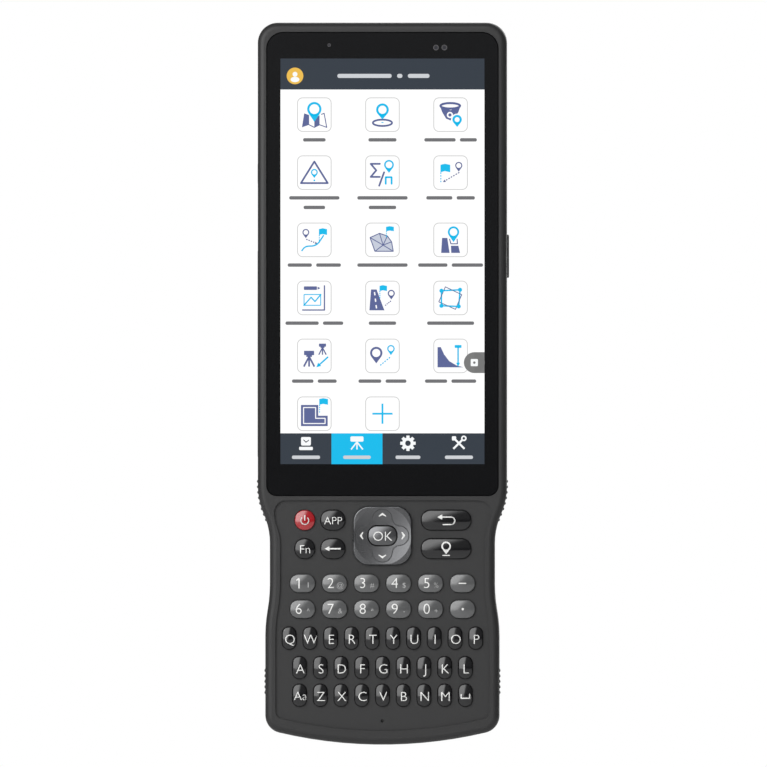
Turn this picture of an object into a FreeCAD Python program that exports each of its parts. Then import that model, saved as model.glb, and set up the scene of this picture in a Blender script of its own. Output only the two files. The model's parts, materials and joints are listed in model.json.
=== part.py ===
import FreeCAD, Part
import math
import os
import re
from collections import namedtuple

import Sketcher
from FreeCAD import Placement, Rotation, Vector

# A rugged handheld data collector: a slim housing with a tall touch display above a full keypad.
# Millimetres. X points to the right as the user sees the display, Z points up along the housing and
# the display looks towards -Y. The origin is the centre of the four bracket inserts, on the flat back.
# A "level" is a distance forward of the flat back, so a level of 5 is the plane Y = -5.
# "up" is a height above the foot, the lowest point of the chin; "down" is a depth below the top edge.

DIMENSIONS = {
    # the housing's outline and its two shells
    "overall_height": 221.3,
    "upper_width": 76.4,
    "waist_draw": 3.7,
    "hip_draw": 2.3,
    "thickness": 16.6,
    "top_round": 6.2,
    "shoulder_up": 79.3,
    "waist_top_up": 61.8,
    "waist_bottom_up": 49.3,
    "hip_up": 33.3,
    "chin_radius": 138.0,
    "corner_round": 5.5,
    "front_round": 2.0,
    "rear_round": 3.6,
    "wall": 1.8,
    "back_wall": 1.5,
    "seam_chamfer": 0.25,
    "mount_down": 50.0,
    # glass and display
    "rim_width": 2.7,
    "glass_down": 3.0,
    "glass_up": 76.3,
    "glass_top_round": 5.2,
    "glass_bottom_round": 3.2,
    "glass_thickness": 1.1,
    "glass_sunk": 0.3,
    "glass_gap": 0.12,
    "glass_chamfer": 0.2,
    "display_border": 2.8,
    "display_down": 6.6,
    "display_chin": 6.5,
    "display_thickness": 2.2,
    "display_gap": 0.2,
    "display_round": 1.0,
    "display_air": 0.05,
    "glue": 0.02,
    "display_rest": 0.1,
    "midplate_thickness": 1.1,
    # keypad panel
    "keypad_top_up": 74.9,
    "keypad_margin": 3.1,
    "keypad_top_border": 5.0,
    "keypad_top_round": 3.7,
    "keypad_shoulder_up": 71.0,
    "keypad_chin": 4.3,
    "keypad_cavity_drop": 1.2,
    "keypad_cavity_widening": 0.8,
    "cut_spare": 1.0,
    "weld": 0.1,
    "end_spare": 0.02,
    "keypad_sunk": 0.8,
    "panel_thickness": 1.4,
    "microphone_up": 7.3,
    "microphone_radius": 0.5,
    # keys
    "key_stand": 1.3,
    "key_gap": 0.18,
    "key_travel": 0.35,
    "key_soft": 0.3,
    "crown_rise": 1.5,
    "crown_drop": 1.8,
    "crown_spread": 1.6,
    "flange_width": 0.35,
    "flange_thickness": 0.6,
    "flange_gap": 0.15,
    "stem_radius": 0.8,
    "stem_reach": 0.15,
    "mat_gap": 0.15,
    "mat_thickness": 0.8,
    "mat_rim": 1.2,
    "mat_inset": 3.4,
    "mat_hole_gap": 0.4,
    "mat_drop": 2.2,
    "mat_draw": 1.6,
    "mat_round": 2.5,
    "mat_notch_gap": 0.3,
    "dome_radius": 1.3,
    "dome_height": 0.25,
    "dome_gap": 0.1,
    "top_row_up": 68.85,
    "second_row_up": 60.1,
    "digit_row_up": 49.5,
    "digit_rows_apart": 7.9,
    "letter_row_up": 32.7,
    "middle_letter_row_up": 23.65,
    "bottom_letter_row_up": 15.2,
    "digit_border": 2.0,
    "digit_spacing": 2.15,
    "digit_height": 5.55,
    "digit_round": 2.6,
    "letter_border": 1.05,
    "letter_spacing": 2.15,
    "letter_height": 6.8,
    "letter_round": 2.0,
    "round_key_inset": 10.7,
    "round_key_size": 6.1,
    "round_key_round": 2.9,
    "pill_key_inset": 19.3,
    "pill_key_width": 7.4,
    "wide_key_inset": 15.0,
    "wide_key_width": 15.2,
    "pad_up": 64.1,
    "pad_size": 17.8,
    "pad_round": 4.8,
    "pad_gap": 0.25,
    "pad_stem_inset": 1.6,
    "pad_flange_gap": 0.55,
    "pad_dish_radius": 80.0,
    "pad_dish_depth": 0.5,
    "groove_width": 0.3,
    "groove_depth": 0.62,
    "cross_reach": 8.1,
    "cross_half": 3.0,
    "cross_inner_round": 2.4,
    "ok_width": 8.7,
    "ok_height": 5.95,
    "ok_round": 2.7,
    "ok_gap": 0.3,
    # board, sockets and parts on it
    "board_thickness": 0.8,
    "board_tab": 6.0,
    "board_inset": 4.9,
    "board_upper_inset": 8.2,
    "board_notch_gap": 0.5,
    "tab_margin": 2.0,
    "tab_round": 1.0,
    "chip_room": 2.1,
    "chip_height": 1.2,
    "upper_chips_down": 48.0,
    "lower_chip_down": 70.0,
    "processor_x": 8.0,
    "processor_size": 16.0,
    "memory_x": 12.0,
    "memory_size": 12.0,
    "modem_size": 18.0,
    "usb_width": 9.0,
    "usb_height": 3.2,
    "usb_length": 7.9,
    "usb_wall": 0.3,
    "usb_gap": 0.25,
    "usb_tongue_thickness": 0.7,
    "usb_tongue_border": 1.2,
    "usb_tongue_round": 0.3,
    "usb_end": 1.0,
    "usb_end_spare": 0.05,
    "usb_below_door_top": 14.0,
    "side_switch_width": 4.6,
    "side_switch_height": 2.2,
    "side_switch_depth": 2.0,
    "speaker_width": 14.0,
    "speaker_height": 9.0,
    "speaker_inset": 15.0,
    "camera_radius": 4.2,
    "part_gap": 0.2,
    "camera_inset": 16.0,
    "camera_down": 19.0,
    "lens_radius": 3.2,
    "window_width": 22.0,
    "window_height": 12.0,
    "window_round": 5.8,
    "window_depth": 0.6,
    "flash_offset": 10.5,
    "flash_radius": 1.6,
    "slot_count": 5,
    "slot_pitch": 2.2,
    "slot_length": 9.0,
    "slot_width": 1.0,
    # battery bay
    "cover_width": 52.0,
    "cover_down": 82.0,
    "cover_up": 41.3,
    "cover_round": 4.0,
    "bay_round_drop": 1.0,
    "cover_thickness": 1.35,
    "cover_gap": 0.2,
    "ledge": 1.4,
    "ledge_thickness": 1.2,
    "bay_inset": 2.4,
    "bay_wall": 1.1,
    "bay_floor": 1.0,
    "battery_gap": 0.3,
    "battery_round": 2.0,
    "battery_soft": 1.0,
    "notch_width": 16.0,
    "notch_height": 5.0,
    "notch_depth": 0.8,
    "cover_groove_width": 24.0,
    "cover_groove_height": 1.0,
    "cover_groove_depth": 0.35,
    "cover_groove_pitch": 2.4,
    "cover_groove_count": 5,
    "cover_groove_down": 8.0,
    # screws and bracket inserts
    "screw_upper_inset": 4.8,
    "screw_lower_inset": 4.7,
    "screw_top_down": 9.0,
    "screw_shoulder_down": 57.0,
    "screw_waist_up": 71.3,
    "screw_foot_up": 10.3,
    "boss_radius": 2.4,
    "screw_radius": 1.2,
    "screw_hole_radius": 1.35,
    "screw_bite": 4.5,
    "pilot_spare": 0.3,
    "pilot_gap": 0.02,
    "head_radius": 2.1,
    "head_height": 1.2,
    "head_recess": 1.7,
    "head_gap": 0.2,
    "hex_radius": 1.0,
    "hex_depth": 0.8,
    "insert_spacing_x": 30.0,
    "insert_spacing_z": 24.0,
    "insert_radius": 1.25,
    "insert_boss_radius": 3.2,
    "insert_boss_gap": 0.4,
    "insert_depth": 4.0,
    # side keys and socket door
    "side_level_drop": 1.1,
    "side_strip": 7.6,
    "side_key_width": 3.2,
    "side_key_round": 1.5,
    "side_key_gap": 0.2,
    "side_travel": 0.4,
    "measure_length": 13.3,
    "measure_down": 71.5,
    "measure_proud": 0.65,
    "user_length": 6.5,
    "user_down": 46.2,
    "user_proud": 0.1,
    "door_down": 70.0,
    "door_above_shoulder": 9.0,
    "door_width": 6.2,
    "door_thickness": 1.5,
    "door_proud": 0.1,
    "door_gap": 0.25,
    "door_round": 0.5,
    "door_floor_gap": 0.2,
    "port_block": 1.6,
    "port_block_margin": 1.5,
}

# Levels through the thickness, from the display side to the back.
GLASS_FRONT = "(thickness - glass_sunk)"
GLASS_BACK = f"({GLASS_FRONT} - glass_thickness)"
DISPLAY_BACK = f"({GLASS_BACK} - display_thickness - display_rest)"
MIDPLATE_BACK = f"({DISPLAY_BACK} - midplate_thickness)"
PANEL_FRONT = "(thickness - keypad_sunk)"
PANEL_BACK = f"({PANEL_FRONT} - panel_thickness)"
KEY_TOP = f"({PANEL_FRONT} + key_stand)"
CROWN_BASE = f"({KEY_TOP} - crown_rise)"
FLANGE_FRONT = f"({PANEL_BACK} - flange_gap)"
FLANGE_BACK = f"({FLANGE_FRONT} - flange_thickness)"
PAD_FLANGE_FRONT = f"({PANEL_BACK} - pad_flange_gap)"
MAT_FRONT = f"({FLANGE_BACK} - key_travel - mat_gap)"
MAT_BACK = f"({MAT_FRONT} - mat_thickness)"
STEM_END = f"({MAT_BACK} - stem_reach)"
DOME_TOP = f"({STEM_END} - key_travel - dome_gap)"
BOARD_FRONT = f"({DOME_TOP} - dome_height)"
BOARD_BACK = f"({BOARD_FRONT} - board_thickness)"
SIDE_LEVEL = f"({BOARD_BACK} - side_level_drop)"
SPLIT = f"({SIDE_LEVEL} - side_strip / 2)"
BAY_FRONT = f"({BOARD_BACK} - chip_room)"
BAY_FLOOR = f"({BAY_FRONT} - bay_floor)"

# Half widths and heights that several pieces share.
UPPER_HALF = "(upper_width / 2)"
KEYPAD_TOP_HALF = "(upper_width / 2 - keypad_top_border)"
WAIST_HALF = "(upper_width / 2 - waist_draw)"
HIP_HALF = "(upper_width / 2 - hip_draw)"
GLASS_WIDTH = "(upper_width - 2 * rim_width)"
DISPLAY_WIDTH = f"({GLASS_WIDTH} - 2 * display_border)"
DISPLAY_TOP = "(overall_height - glass_down - display_down)"
DISPLAY_BOTTOM = "(glass_up + display_chin)"
CAMERA_X = f"({UPPER_HALF} - camera_inset)"
WINDOW_X = f"({CAMERA_X} - flash_offset / 2)"
SPEAKER_X = f"(-({UPPER_HALF} - speaker_inset))"
PAD_STEM_X = "(pad_size / 2 - pad_stem_inset)"
SWITCH_FACE = f"({UPPER_HALF} - wall - side_switch_depth)"
DOOR_TOP_UP = "(overall_height - door_down)"
DOOR_BOTTOM_UP = "(shoulder_up + door_above_shoulder)"
DOOR_MIDDLE_UP = f"(({DOOR_TOP_UP} + {DOOR_BOTTOM_UP}) / 2)"
DOOR_FLOOR_HALF = f"({UPPER_HALF} + door_proud - door_thickness - door_floor_gap)"
USB_UP = f"({DOOR_TOP_UP} - usb_below_door_top)"
MEASURE_UP = "(overall_height - measure_down)"
USER_UP = "(overall_height - user_down)"
CAMERA_UP = "(overall_height - camera_down)"
COVER_HEIGHT = "(overall_height - cover_down - cover_up)"
COVER_MIDDLE_UP = f"(cover_up + {COVER_HEIGHT} / 2)"
DIGIT_PITCH = f"((2 * {WAIST_HALF} - 2 * keypad_margin - 2 * digit_border) / 6)"
LETTER_PITCH = f"((2 * {HIP_HALF} - 2 * keypad_margin - 2 * letter_border) / 10)"

TINY = 1e-6

document = FreeCAD.newDocument("DataCollector")
sheet = document.addObject("Spreadsheet::Sheet", "Dimensions")
for row, (alias, size) in enumerate(DIMENSIONS.items(), 1):
    sheet.set(f"A{row}", alias)
    sheet.set(f"B{row}", str(size))
    sheet.setAlias(f"B{row}", alias)
document.recompute()


def bound(formula):
    """Write a formula of dimension names as an expression on the sheet."""
    return re.sub(r"[a-z_]+", lambda word: "Dimensions." + word[0] if word[0] in DIMENSIONS else word[0],
                  str(formula))


def value(formula):
    """The present value of a formula of dimension names."""
    return float(sheet.evalExpression(bound(formula)))


def at(up):
    """The Z coordinate of a height above the foot."""
    return f"(({up}) - (overall_height - mount_down))"


# ---- sketches and features ----


def bind(sketch, constraint, formula):
    """Add a constraint whose value follows the sheet."""
    index = sketch.addConstraint(constraint)
    sketch.setExpression(f"Constraints[{index}]", bound(formula))


def sketch_on(body, what, level, across="0", up="0", plane="XZ_Plane"):
    """Start a sketch parallel to one of the body's origin planes."""
    sketch = body.newObject("Sketcher::SketchObject", f"{body.Name}_{what}_sketch")
    support = next(f for f in body.Origin.OriginFeatures if f.Role == plane)
    sketch.AttachmentSupport = [(support, "")]
    sketch.MapMode = "FlatFace"
    for axis, formula in zip("xyz", (across, up, level)):
        sketch.setExpression(f"AttachmentOffset.Base.{axis}", bound(formula))
    return sketch


def vertex_at(sketch, geometry, point):
    """Tell whether the piece of geometry starts (1) or ends (2) at the point."""
    return 1 if (sketch.getPoint(geometry, 1) - point).Length < TINY else 2


def smooth_loop(sketch, pieces):
    """Add curves that follow each other, each a (curve, start, end), tangent all the way round."""
    indices = [sketch.addGeometry(curve) for curve, _, _ in pieces]
    for i, (_, _, joint) in enumerate(pieces):
        this, following = indices[i], indices[(i + 1) % len(indices)]
        ends = vertex_at(sketch, this, joint), vertex_at(sketch, following, joint)
        sketch.addConstraint(Sketcher.Constraint("Tangent", this, ends[0], following, ends[1]))
    return indices


def line(start, end):
    return Part.LineSegment(start, end), start, end


def arc(centre, start, end):
    """The shorter arc about a centre."""
    towards = ((start + end) / 2 - centre).normalize()
    return Part.Arc(start, centre + towards * (start - centre).Length, end), start, end


def distance_from_axis(sketch, geometry, side, formula):
    """Hold a vertical line beside the sketch's vertical axis; side is 1 for right and -1 for left."""
    ends = (-1, 1, geometry, 1) if side > 0 else (geometry, 1, -1, 1)
    bind(sketch, Sketcher.Constraint("DistanceX", *ends, value(formula)), formula)


def rounded_rectangle(sketch, width, height, radius):
    """A rectangle with four equal rounded corners, centred on the sketch's origin."""
    x, y, r = value(width) / 2, value(height) / 2, value(radius)
    pieces = []
    for sx, sy in ((1, 1), (1, -1), (-1, -1), (-1, 1)):
        beside = Vector(sx * x, sy * (y - r))
        above = Vector(sx * (x - r), sy * y)
        start, end = (above, beside) if sx == sy else (beside, above)
        pieces.append(arc(Vector(sx * (x - r), sy * (y - r)), start, end))
    sides = [line(pieces[i][2], pieces[(i + 1) % 4][1]) for i in range(4)]
    ring = smooth_loop(sketch, [piece for pair in zip(pieces, sides) for piece in pair])
    corners, (right, bottom, left, top) = ring[0::2], ring[1::2]
    for vertical in (right, left):
        sketch.addConstraint(Sketcher.Constraint("Vertical", vertical))
    for horizontal in (top, bottom):
        sketch.addConstraint(Sketcher.Constraint("Horizontal", horizontal))
    for corner in corners[1:]:
        sketch.addConstraint(Sketcher.Constraint("Equal", corners[0], corner))
    bind(sketch, Sketcher.Constraint("Radius", corners[0], r), radius)
    bind(sketch, Sketcher.Constraint("DistanceX", left, 1, right, 1, 2 * x), width)
    bind(sketch, Sketcher.Constraint("DistanceY", bottom, 1, top, 1, 2 * y), height)
    sketch.addConstraint(Sketcher.Constraint("Symmetric", corners[0], 3, corners[2], 3, -1, 1))


def circle(sketch, radius):
    index = sketch.addGeometry(Part.Circle(Vector(), Vector(0, 0, 1), value(radius)))
    sketch.addConstraint(Sketcher.Constraint("Coincident", index, 3, -1, 1))
    bind(sketch, Sketcher.Constraint("Radius", index, value(radius)), radius)


def screen_outline(sketch, width, bottom, top, bottom_radius, top_radius):
    """An upright rectangle above the sketch's origin, rounder at the top than at the bottom."""
    x, low, high = value(width) / 2, value(bottom), value(top)
    small, large = value(bottom_radius), value(top_radius)
    corners = [
        arc(Vector(x - large, high - large), Vector(x - large, high), Vector(x, high - large)),
        arc(Vector(x - small, low + small), Vector(x, low + small), Vector(x - small, low)),
        arc(Vector(small - x, low + small), Vector(small - x, low), Vector(-x, low + small)),
        arc(Vector(large - x, high - large), Vector(-x, high - large), Vector(large - x, high)),
    ]
    sides = [line(corners[i][2], corners[(i + 1) % 4][1]) for i in range(4)]
    ring = smooth_loop(sketch, [piece for pair in zip(corners, sides) for piece in pair])
    arcs, (right, floor, left, head) = ring[0::2], ring[1::2]
    for side, vertical in ((1, right), (-1, left)):
        sketch.addConstraint(Sketcher.Constraint("Vertical", vertical))
        distance_from_axis(sketch, vertical, side, f"({width}) / 2")
    for horizontal, height in ((head, top), (floor, bottom)):
        sketch.addConstraint(Sketcher.Constraint("Horizontal", horizontal))
        bind(sketch, Sketcher.Constraint("DistanceY", -1, 1, horizontal, 1, value(height)), height)
    for corner, radius in zip(arcs, (top_radius, bottom_radius, bottom_radius, top_radius)):
        bind(sketch, Sketcher.Constraint("Radius", corner, value(radius)), radius)


def device_outline(sketch, inset, top=None, top_half=UPPER_HALF, top_radius=None,
                   shoulder="shoulder_up", chin_inset=None):
    """The housing's outline, drawn in from its edge by inset, with the sketch's origin at the foot.

    It runs down each side from the top edge over the shoulder to the waist, out again to the hip,
    and round the corner into the wide arc of the chin.
    """
    top = top or f"(overall_height - ({inset}))"
    top_radius = top_radius or f"(top_round - ({inset}))"
    chin_inset = chin_inset or inset
    halves = [f"({half} - ({inset}))" for half in (top_half, WAIST_HALF, HIP_HALF)]
    bends = [(shoulder, "waist_top_up"), ("waist_bottom_up", "hip_up")]
    corner_radius = f"(corner_round - ({inset}))"
    chin_curve = f"(chin_radius - ({chin_inset}))"

    head, r_top = value(top), value(top_radius)
    xs = [value(half) for half in halves]
    r_corner, r_chin, chin_centre = value(corner_radius), value(chin_curve), Vector(0, value("chin_radius"))
    corner = Vector(xs[2] - r_corner, 0)
    corner.y = chin_centre.y - math.sqrt((r_chin - r_corner) ** 2 - corner.x ** 2)
    onto_chin = chin_centre + (corner - chin_centre).normalize() * r_chin

    pieces = [arc(Vector(xs[0] - r_top, head - r_top), Vector(xs[0] - r_top, head), Vector(xs[0],
                                                                                           head - r_top))]
    for i, bend in enumerate(bends):
        start, end = Vector(xs[i], value(bend[0])), Vector(xs[i + 1], value(bend[1]))
        run, drop = end.x - start.x, start.y - end.y
        bend_radius = Vector((run ** 2 + drop ** 2) / (4 * run), 0)
        middle = (start + end) / 2
        pieces.append(line(pieces[-1][2], start))
        pieces.append(arc(start + bend_radius, start, middle))
        pieces.append(arc(end - bend_radius, middle, end))
    pieces.append(line(pieces[-1][2], Vector(xs[2], corner.y)))
    pieces.append(arc(corner, pieces[-1][2], onto_chin))

    def mirrored(point):
        return Vector(-point.x, point.y)

    def left_of(piece):
        curve, start, end = piece
        if isinstance(curve, Part.LineSegment):
            return line(mirrored(end), mirrored(start))
        inner = curve.value((curve.FirstParameter + curve.LastParameter) / 2)
        return Part.Arc(mirrored(end), mirrored(inner), mirrored(start)), mirrored(end), mirrored(start)

    chin = arc(chin_centre, onto_chin, mirrored(onto_chin))
    left = [left_of(piece) for piece in reversed(pieces)]
    roof = line(left[-1][2], pieces[0][1])
    ring = smooth_loop(sketch, pieces + [chin] + left + [roof])

    count = len(pieces)
    for side, run in ((1, ring[:count]), (-1, ring[count + 1:-1][::-1])):
        for step, half in zip((1, 4, 7), halves):
            sketch.addConstraint(Sketcher.Constraint("Vertical", run[step]))
            distance_from_axis(sketch, run[step], side, half)
        for step, (high, low) in zip((2, 5), bends):
            sketch.addConstraint(Sketcher.Constraint("Equal", run[step], run[step + 1]))
            for curve, height in ((run[step], high), (run[step + 1], low)):
                centre = Sketcher.Constraint("DistanceY", -1, 1, curve, 3, value(height))
                bind(sketch, centre, height)
        bind(sketch, Sketcher.Constraint("Radius", run[0], r_top), top_radius)
        bind(sketch, Sketcher.Constraint("Radius", run[-1], r_corner), corner_radius)
    sketch.addConstraint(Sketcher.Constraint("Horizontal", ring[-1]))
    bind(sketch, Sketcher.Constraint("DistanceY", -1, 1, ring[-1], 1, head), top)
    bind(sketch, Sketcher.Constraint("Radius", ring[count], r_chin), chin_curve)
    sketch.addConstraint(Sketcher.Constraint("PointOnObject", ring[count], 3, -2))
    bind(sketch, Sketcher.Constraint("DistanceY", -1, 1, ring[count], 3, chin_centre.y), "chin_radius")


def cross_outline(growth):
    """A plus sign with round arm ends and rounded inner corners."""
    half = f"(cross_half + {growth})"
    reach = f"(cross_reach + {growth})"
    inner = f"(cross_inner_round - {growth})"
    h, r, k = value(half), value(reach), value(inner)
    right = [
        arc(Vector(r - h, 0), Vector(r - h, h), Vector(r, 0)),
        arc(Vector(r - h, 0), Vector(r, 0), Vector(r - h, -h)),
        line(Vector(r - h, -h), Vector(h + k, -h)),
        arc(Vector(h + k, -h - k), Vector(h + k, -h), Vector(h, -h - k)),
        line(Vector(h, -h - k), Vector(h, h - r)),
    ]
    pieces = []
    for quarter in range(4):
        turn = Rotation(Vector(0, 0, 1), -90 * quarter)
        for curve, start, end in right:
            if isinstance(curve, Part.LineSegment):
                pieces.append(line(turn.multVec(start), turn.multVec(end)))
            else:
                inside = curve.value((curve.FirstParameter + curve.LastParameter) / 2)
                ends = [turn.multVec(point) for point in (start, inside, end)]
                pieces.append((Part.Arc(*ends), ends[0], ends[2]))
    return pieces


def fill(body, what, low, high, draw, **place):
    """Pad an outline from one level forward to another."""
    sketch = sketch_on(body, what, low, **place)
    draw(sketch)
    feature = body.newObject("PartDesign::Pad", f"{body.Name}_{what}")
    feature.Profile = sketch
    feature.setExpression("Length", bound(f"({high}) - ({low})"))
    feature.Refine = False
    return feature


def cut(body, what, low, high, draw, **place):
    """Cut an outline away from one level forward to another."""
    sketch = sketch_on(body, what, low, **place)
    draw(sketch)
    feature = body.newObject("PartDesign::Pocket", f"{body.Name}_{what}")
    feature.Profile = sketch
    feature.Reversed = True
    feature.setExpression("Length", bound(f"({high}) - ({low})"))
    feature.Refine = False
    return feature


def repeat(body, feature, count, length, axis="H_Axis"):
    """Repeat a feature along an axis of its sketch."""
    pattern = body.newObject("PartDesign::LinearPattern", f"{feature.Name}_row")
    pattern.Originals = [feature]
    pattern.Direction = (feature.Profile[0], [axis])
    pattern.setExpression("Length", bound(length))
    pattern.setExpression("Occurrences", bound(count))
    pattern.Refine = False
    body.Tip = pattern
    return pattern


def edges_where(feature, chosen):
    return [f"Edge{i}" for i, edge in enumerate(feature.Shape.Edges, 1) if chosen(edge)]


def lies_at(level):
    """A test for edges that lie in the plane of a level."""
    y = -value(level)

    def chosen(edge):
        box = edge.BoundBox
        return abs(box.YMin - y) < TINY and abs(box.YMax - y) < TINY

    return chosen


def soften(body, kind, size, chosen):
    """Fillet or chamfer the chosen edges of the body's newest feature."""
    base = body.Tip
    feature = body.newObject(f"PartDesign::{kind}", f"{base.Name}_{kind.lower()}")
    feature.Base = (base, edges_where(base, chosen))
    feature.setExpression("Radius" if kind == "Fillet" else "Size", bound(size))
    feature.Refine = False
    return feature


def new_body(name):
    body = document.addObject("PartDesign::Body", name)
    body.Label = name
    return body


def put(piece, across="0", forward="0", up="0"):
    """Place a piece at X = across, a level forward of the back, and a Z coordinate."""
    for axis, formula in zip("xyz", (across, f"-({forward})", up)):
        piece.setExpression(f"Placement.Base.{axis}", bound(formula))


# ---- keys ----

# A row of equal keys: the X of its middle, the spacing, the size, the corner radius and the height.
KeyRow = namedtuple("KeyRow", "names middle pitch width height round up gap flange")


def key_row(names, middle, pitch, width, height, corner, up):
    return KeyRow(names.split(), middle, pitch, width, height, corner, up, "key_gap", "flange_width")


POWER_X = f"(-({WAIST_HALF} - round_key_inset))"
PILL_X = f"(-({WAIST_HALF} - pill_key_inset))"
WIDE_X = f"({WAIST_HALF} - wide_key_inset)"
DIGIT_WIDTH = f"({DIGIT_PITCH} - digit_spacing)"
LETTER_WIDTH = f"({LETTER_PITCH} - letter_spacing)"
SECOND_DIGIT_UP = "(digit_row_up - digit_rows_apart)"

KEY_ROWS = [
    key_row("key_power", POWER_X, "0", "round_key_size", "round_key_size", "round_key_round", "top_row_up"),
    key_row("key_fn", POWER_X, "0", "round_key_size", "round_key_size", "round_key_round", "second_row_up"),
    key_row("key_app", PILL_X, "0", "pill_key_width", "round_key_size", "round_key_round", "top_row_up"),
    key_row("key_erase", PILL_X, "0", "pill_key_width", "round_key_size", "round_key_round", "second_row_up"),
    key_row("key_return", WIDE_X, "0", "wide_key_width", "round_key_size", "round_key_round", "top_row_up"),
    key_row("key_locate", WIDE_X, "0", "wide_key_width", "round_key_size", "round_key_round",
            "second_row_up"),
    key_row("key_1 key_2 key_3 key_4 key_5 key_minus", "0", DIGIT_PITCH, DIGIT_WIDTH, "digit_height",
            "digit_round", "digit_row_up"),
    key_row("key_6 key_7 key_8 key_9 key_0 key_point", "0", DIGIT_PITCH, DIGIT_WIDTH, "digit_height",
            "digit_round", SECOND_DIGIT_UP),
    key_row("key_q key_w key_e key_r key_t key_y key_u key_i key_o key_p", "0", LETTER_PITCH, LETTER_WIDTH,
            "letter_height", "letter_round", "letter_row_up"),
    key_row("key_a key_s key_d key_f key_g key_h key_j key_k key_l", "0", LETTER_PITCH, LETTER_WIDTH,
            "letter_height", "letter_round", "middle_letter_row_up"),
    key_row("key_shift key_z key_x key_c key_v key_b key_n key_m key_space", "0", LETTER_PITCH,
            LETTER_WIDTH, "letter_height", "letter_round", "bottom_letter_row_up"),
]
# The OK key stands in the D-pad's own opening and has no flange.
OK_KEY = KeyRow(["key_ok"], "0", "0", "ok_width", "ok_height", "ok_round", "pad_up", "ok_gap", None)


def key_x(row, index):
    return f"({row.middle} + {row.pitch} * {index - (len(row.names) - 1) / 2})"


def crown(name, row):
    """The top of a key: its outline under a shallow dome that follows its proportions."""
    blank = new_body(f"{name}_blank")
    fill(blank, "outline", CROWN_BASE, f"{KEY_TOP} + cut_spare",
         lambda sketch: rounded_rectangle(sketch, row.width, row.height, row.round))
    dome = document.addObject("Part::Ellipsoid", f"{name}_dome")
    # The turn lays the dome's poles along X and its seam inside the key.
    dome.Placement = Placement(Vector(), Rotation(Vector(1, 1, 1), 120))
    dome.setExpression("Placement.Base.y", bound(f"-({KEY_TOP} - crown_drop)"))
    for axis, formula in zip("123", (f"{row.width} / 2 * crown_spread", "crown_drop",
                                     f"{row.height} / 2 * crown_spread")):
        dome.setExpression(f"Radius{axis}", bound(formula))
    top = document.addObject("Part::Common", f"{name}_crown")
    top.Base, top.Tool = blank, dome
    return top


def keycap(name, row, index):
    """A key: domed top, neck through the panel, flange behind it and a stem towards its switch."""
    body = new_body(name)
    top = crown(name, row)
    yield
    body.BaseFeature = top
    yield
    dome_face = max(body.Tip.Shape.Faces, key=lambda face: -face.CenterOfMass.y)
    soften(body, "Fillet", "key_soft", lambda edge: any(edge.isSame(rim) for rim in dome_face.Edges))
    fill(body, "neck", FLANGE_FRONT, CROWN_BASE,
         lambda sketch: rounded_rectangle(sketch, row.width, row.height, row.round))
    if row.flange:
        width, height, corner = (f"({row.width} + 2 * {row.flange})", f"({row.height} + 2 * {row.flange})",
                                 f"({row.round} + {row.flange})")
    else:
        width, height, corner = row.width, row.height, row.round
    fill(body, "flange", FLANGE_BACK, FLANGE_FRONT,
         lambda sketch: rounded_rectangle(sketch, width, height, corner))
    fill(body, "stem", STEM_END, FLANGE_BACK, lambda sketch: circle(sketch, "stem_radius"))
    put(body, across=key_x(row, index), up=at(row.up))
    return body


def direction_pad():
    """The four-way pad: a dished rounded square that rocks round its middle, with the OK key's opening."""
    body = new_body("direction_pad")
    corner = "pad_round"
    fill(body, "block", PAD_FLANGE_FRONT, KEY_TOP,
         lambda sketch: rounded_rectangle(sketch, "pad_size", "pad_size", corner))
    yield
    soften(body, "Fillet", "key_soft", lies_at(KEY_TOP))
    dish = body.newObject("PartDesign::SubtractiveSphere", "direction_pad_dish")
    dish.setExpression("Radius", bound("pad_dish_radius"))
    put(dish, forward=f"{KEY_TOP} + pad_dish_radius - pad_dish_depth")
    fill(body, "flange", FLANGE_BACK, PAD_FLANGE_FRONT,
         lambda sketch: rounded_rectangle(sketch, "pad_size + 2 * flange_width",
                                          "pad_size + 2 * flange_width",
                                          f"{corner} + flange_width"))
    cut(body, "opening", FLANGE_BACK, KEY_TOP,
        lambda sketch: rounded_rectangle(sketch, "ok_width + 2 * ok_gap", "ok_height + 2 * ok_gap",
                                         "ok_round + ok_gap"))

    def groove(sketch):
        for growth in ("groove_width / 2", "(-groove_width / 2)"):
            smooth_loop(sketch, cross_outline(growth))

    cut(body, "groove", f"{KEY_TOP} - groove_depth", KEY_TOP, groove)
    for side in (-1, 1):
        fill(body, "stem_right" if side > 0 else "stem_left", STEM_END, FLANGE_BACK,
             lambda sketch: circle(sketch, "stem_radius"), across=f"{side} * {PAD_STEM_X}")
    put(body, up=at("pad_up"))
    return body


def keys():
    caps = [keycap(name, row, index) for row in KEY_ROWS for index, name in enumerate(row.names)]
    return caps + [keycap("key_ok", OK_KEY, 0), direction_pad()]


# ---- housing ----

# Screw columns and rows: (half spacing, height, level that the front boss reaches)
SCREWS = [
    (f"({UPPER_HALF} - screw_upper_inset)", "(overall_height - screw_top_down)", MIDPLATE_BACK),
    (f"({UPPER_HALF} - screw_upper_inset)", "(overall_height - screw_shoulder_down)", MIDPLATE_BACK),
    (f"({HIP_HALF} - screw_lower_inset)", "screw_waist_up", PANEL_BACK),
    (f"({HIP_HALF} - screw_lower_inset)", "screw_foot_up", PANEL_BACK),
]


def at_screws(work, rows=SCREWS):
    """Do the same work at the screws of the chosen rows, right and left."""
    for number, (half, up, reach) in enumerate(rows):
        for side in (1, -1):
            tag = f"{number}_{'right' if side > 0 else 'left'}"
            work(tag, reach, across=f"{side} * {half}", up=at(up))


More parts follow.
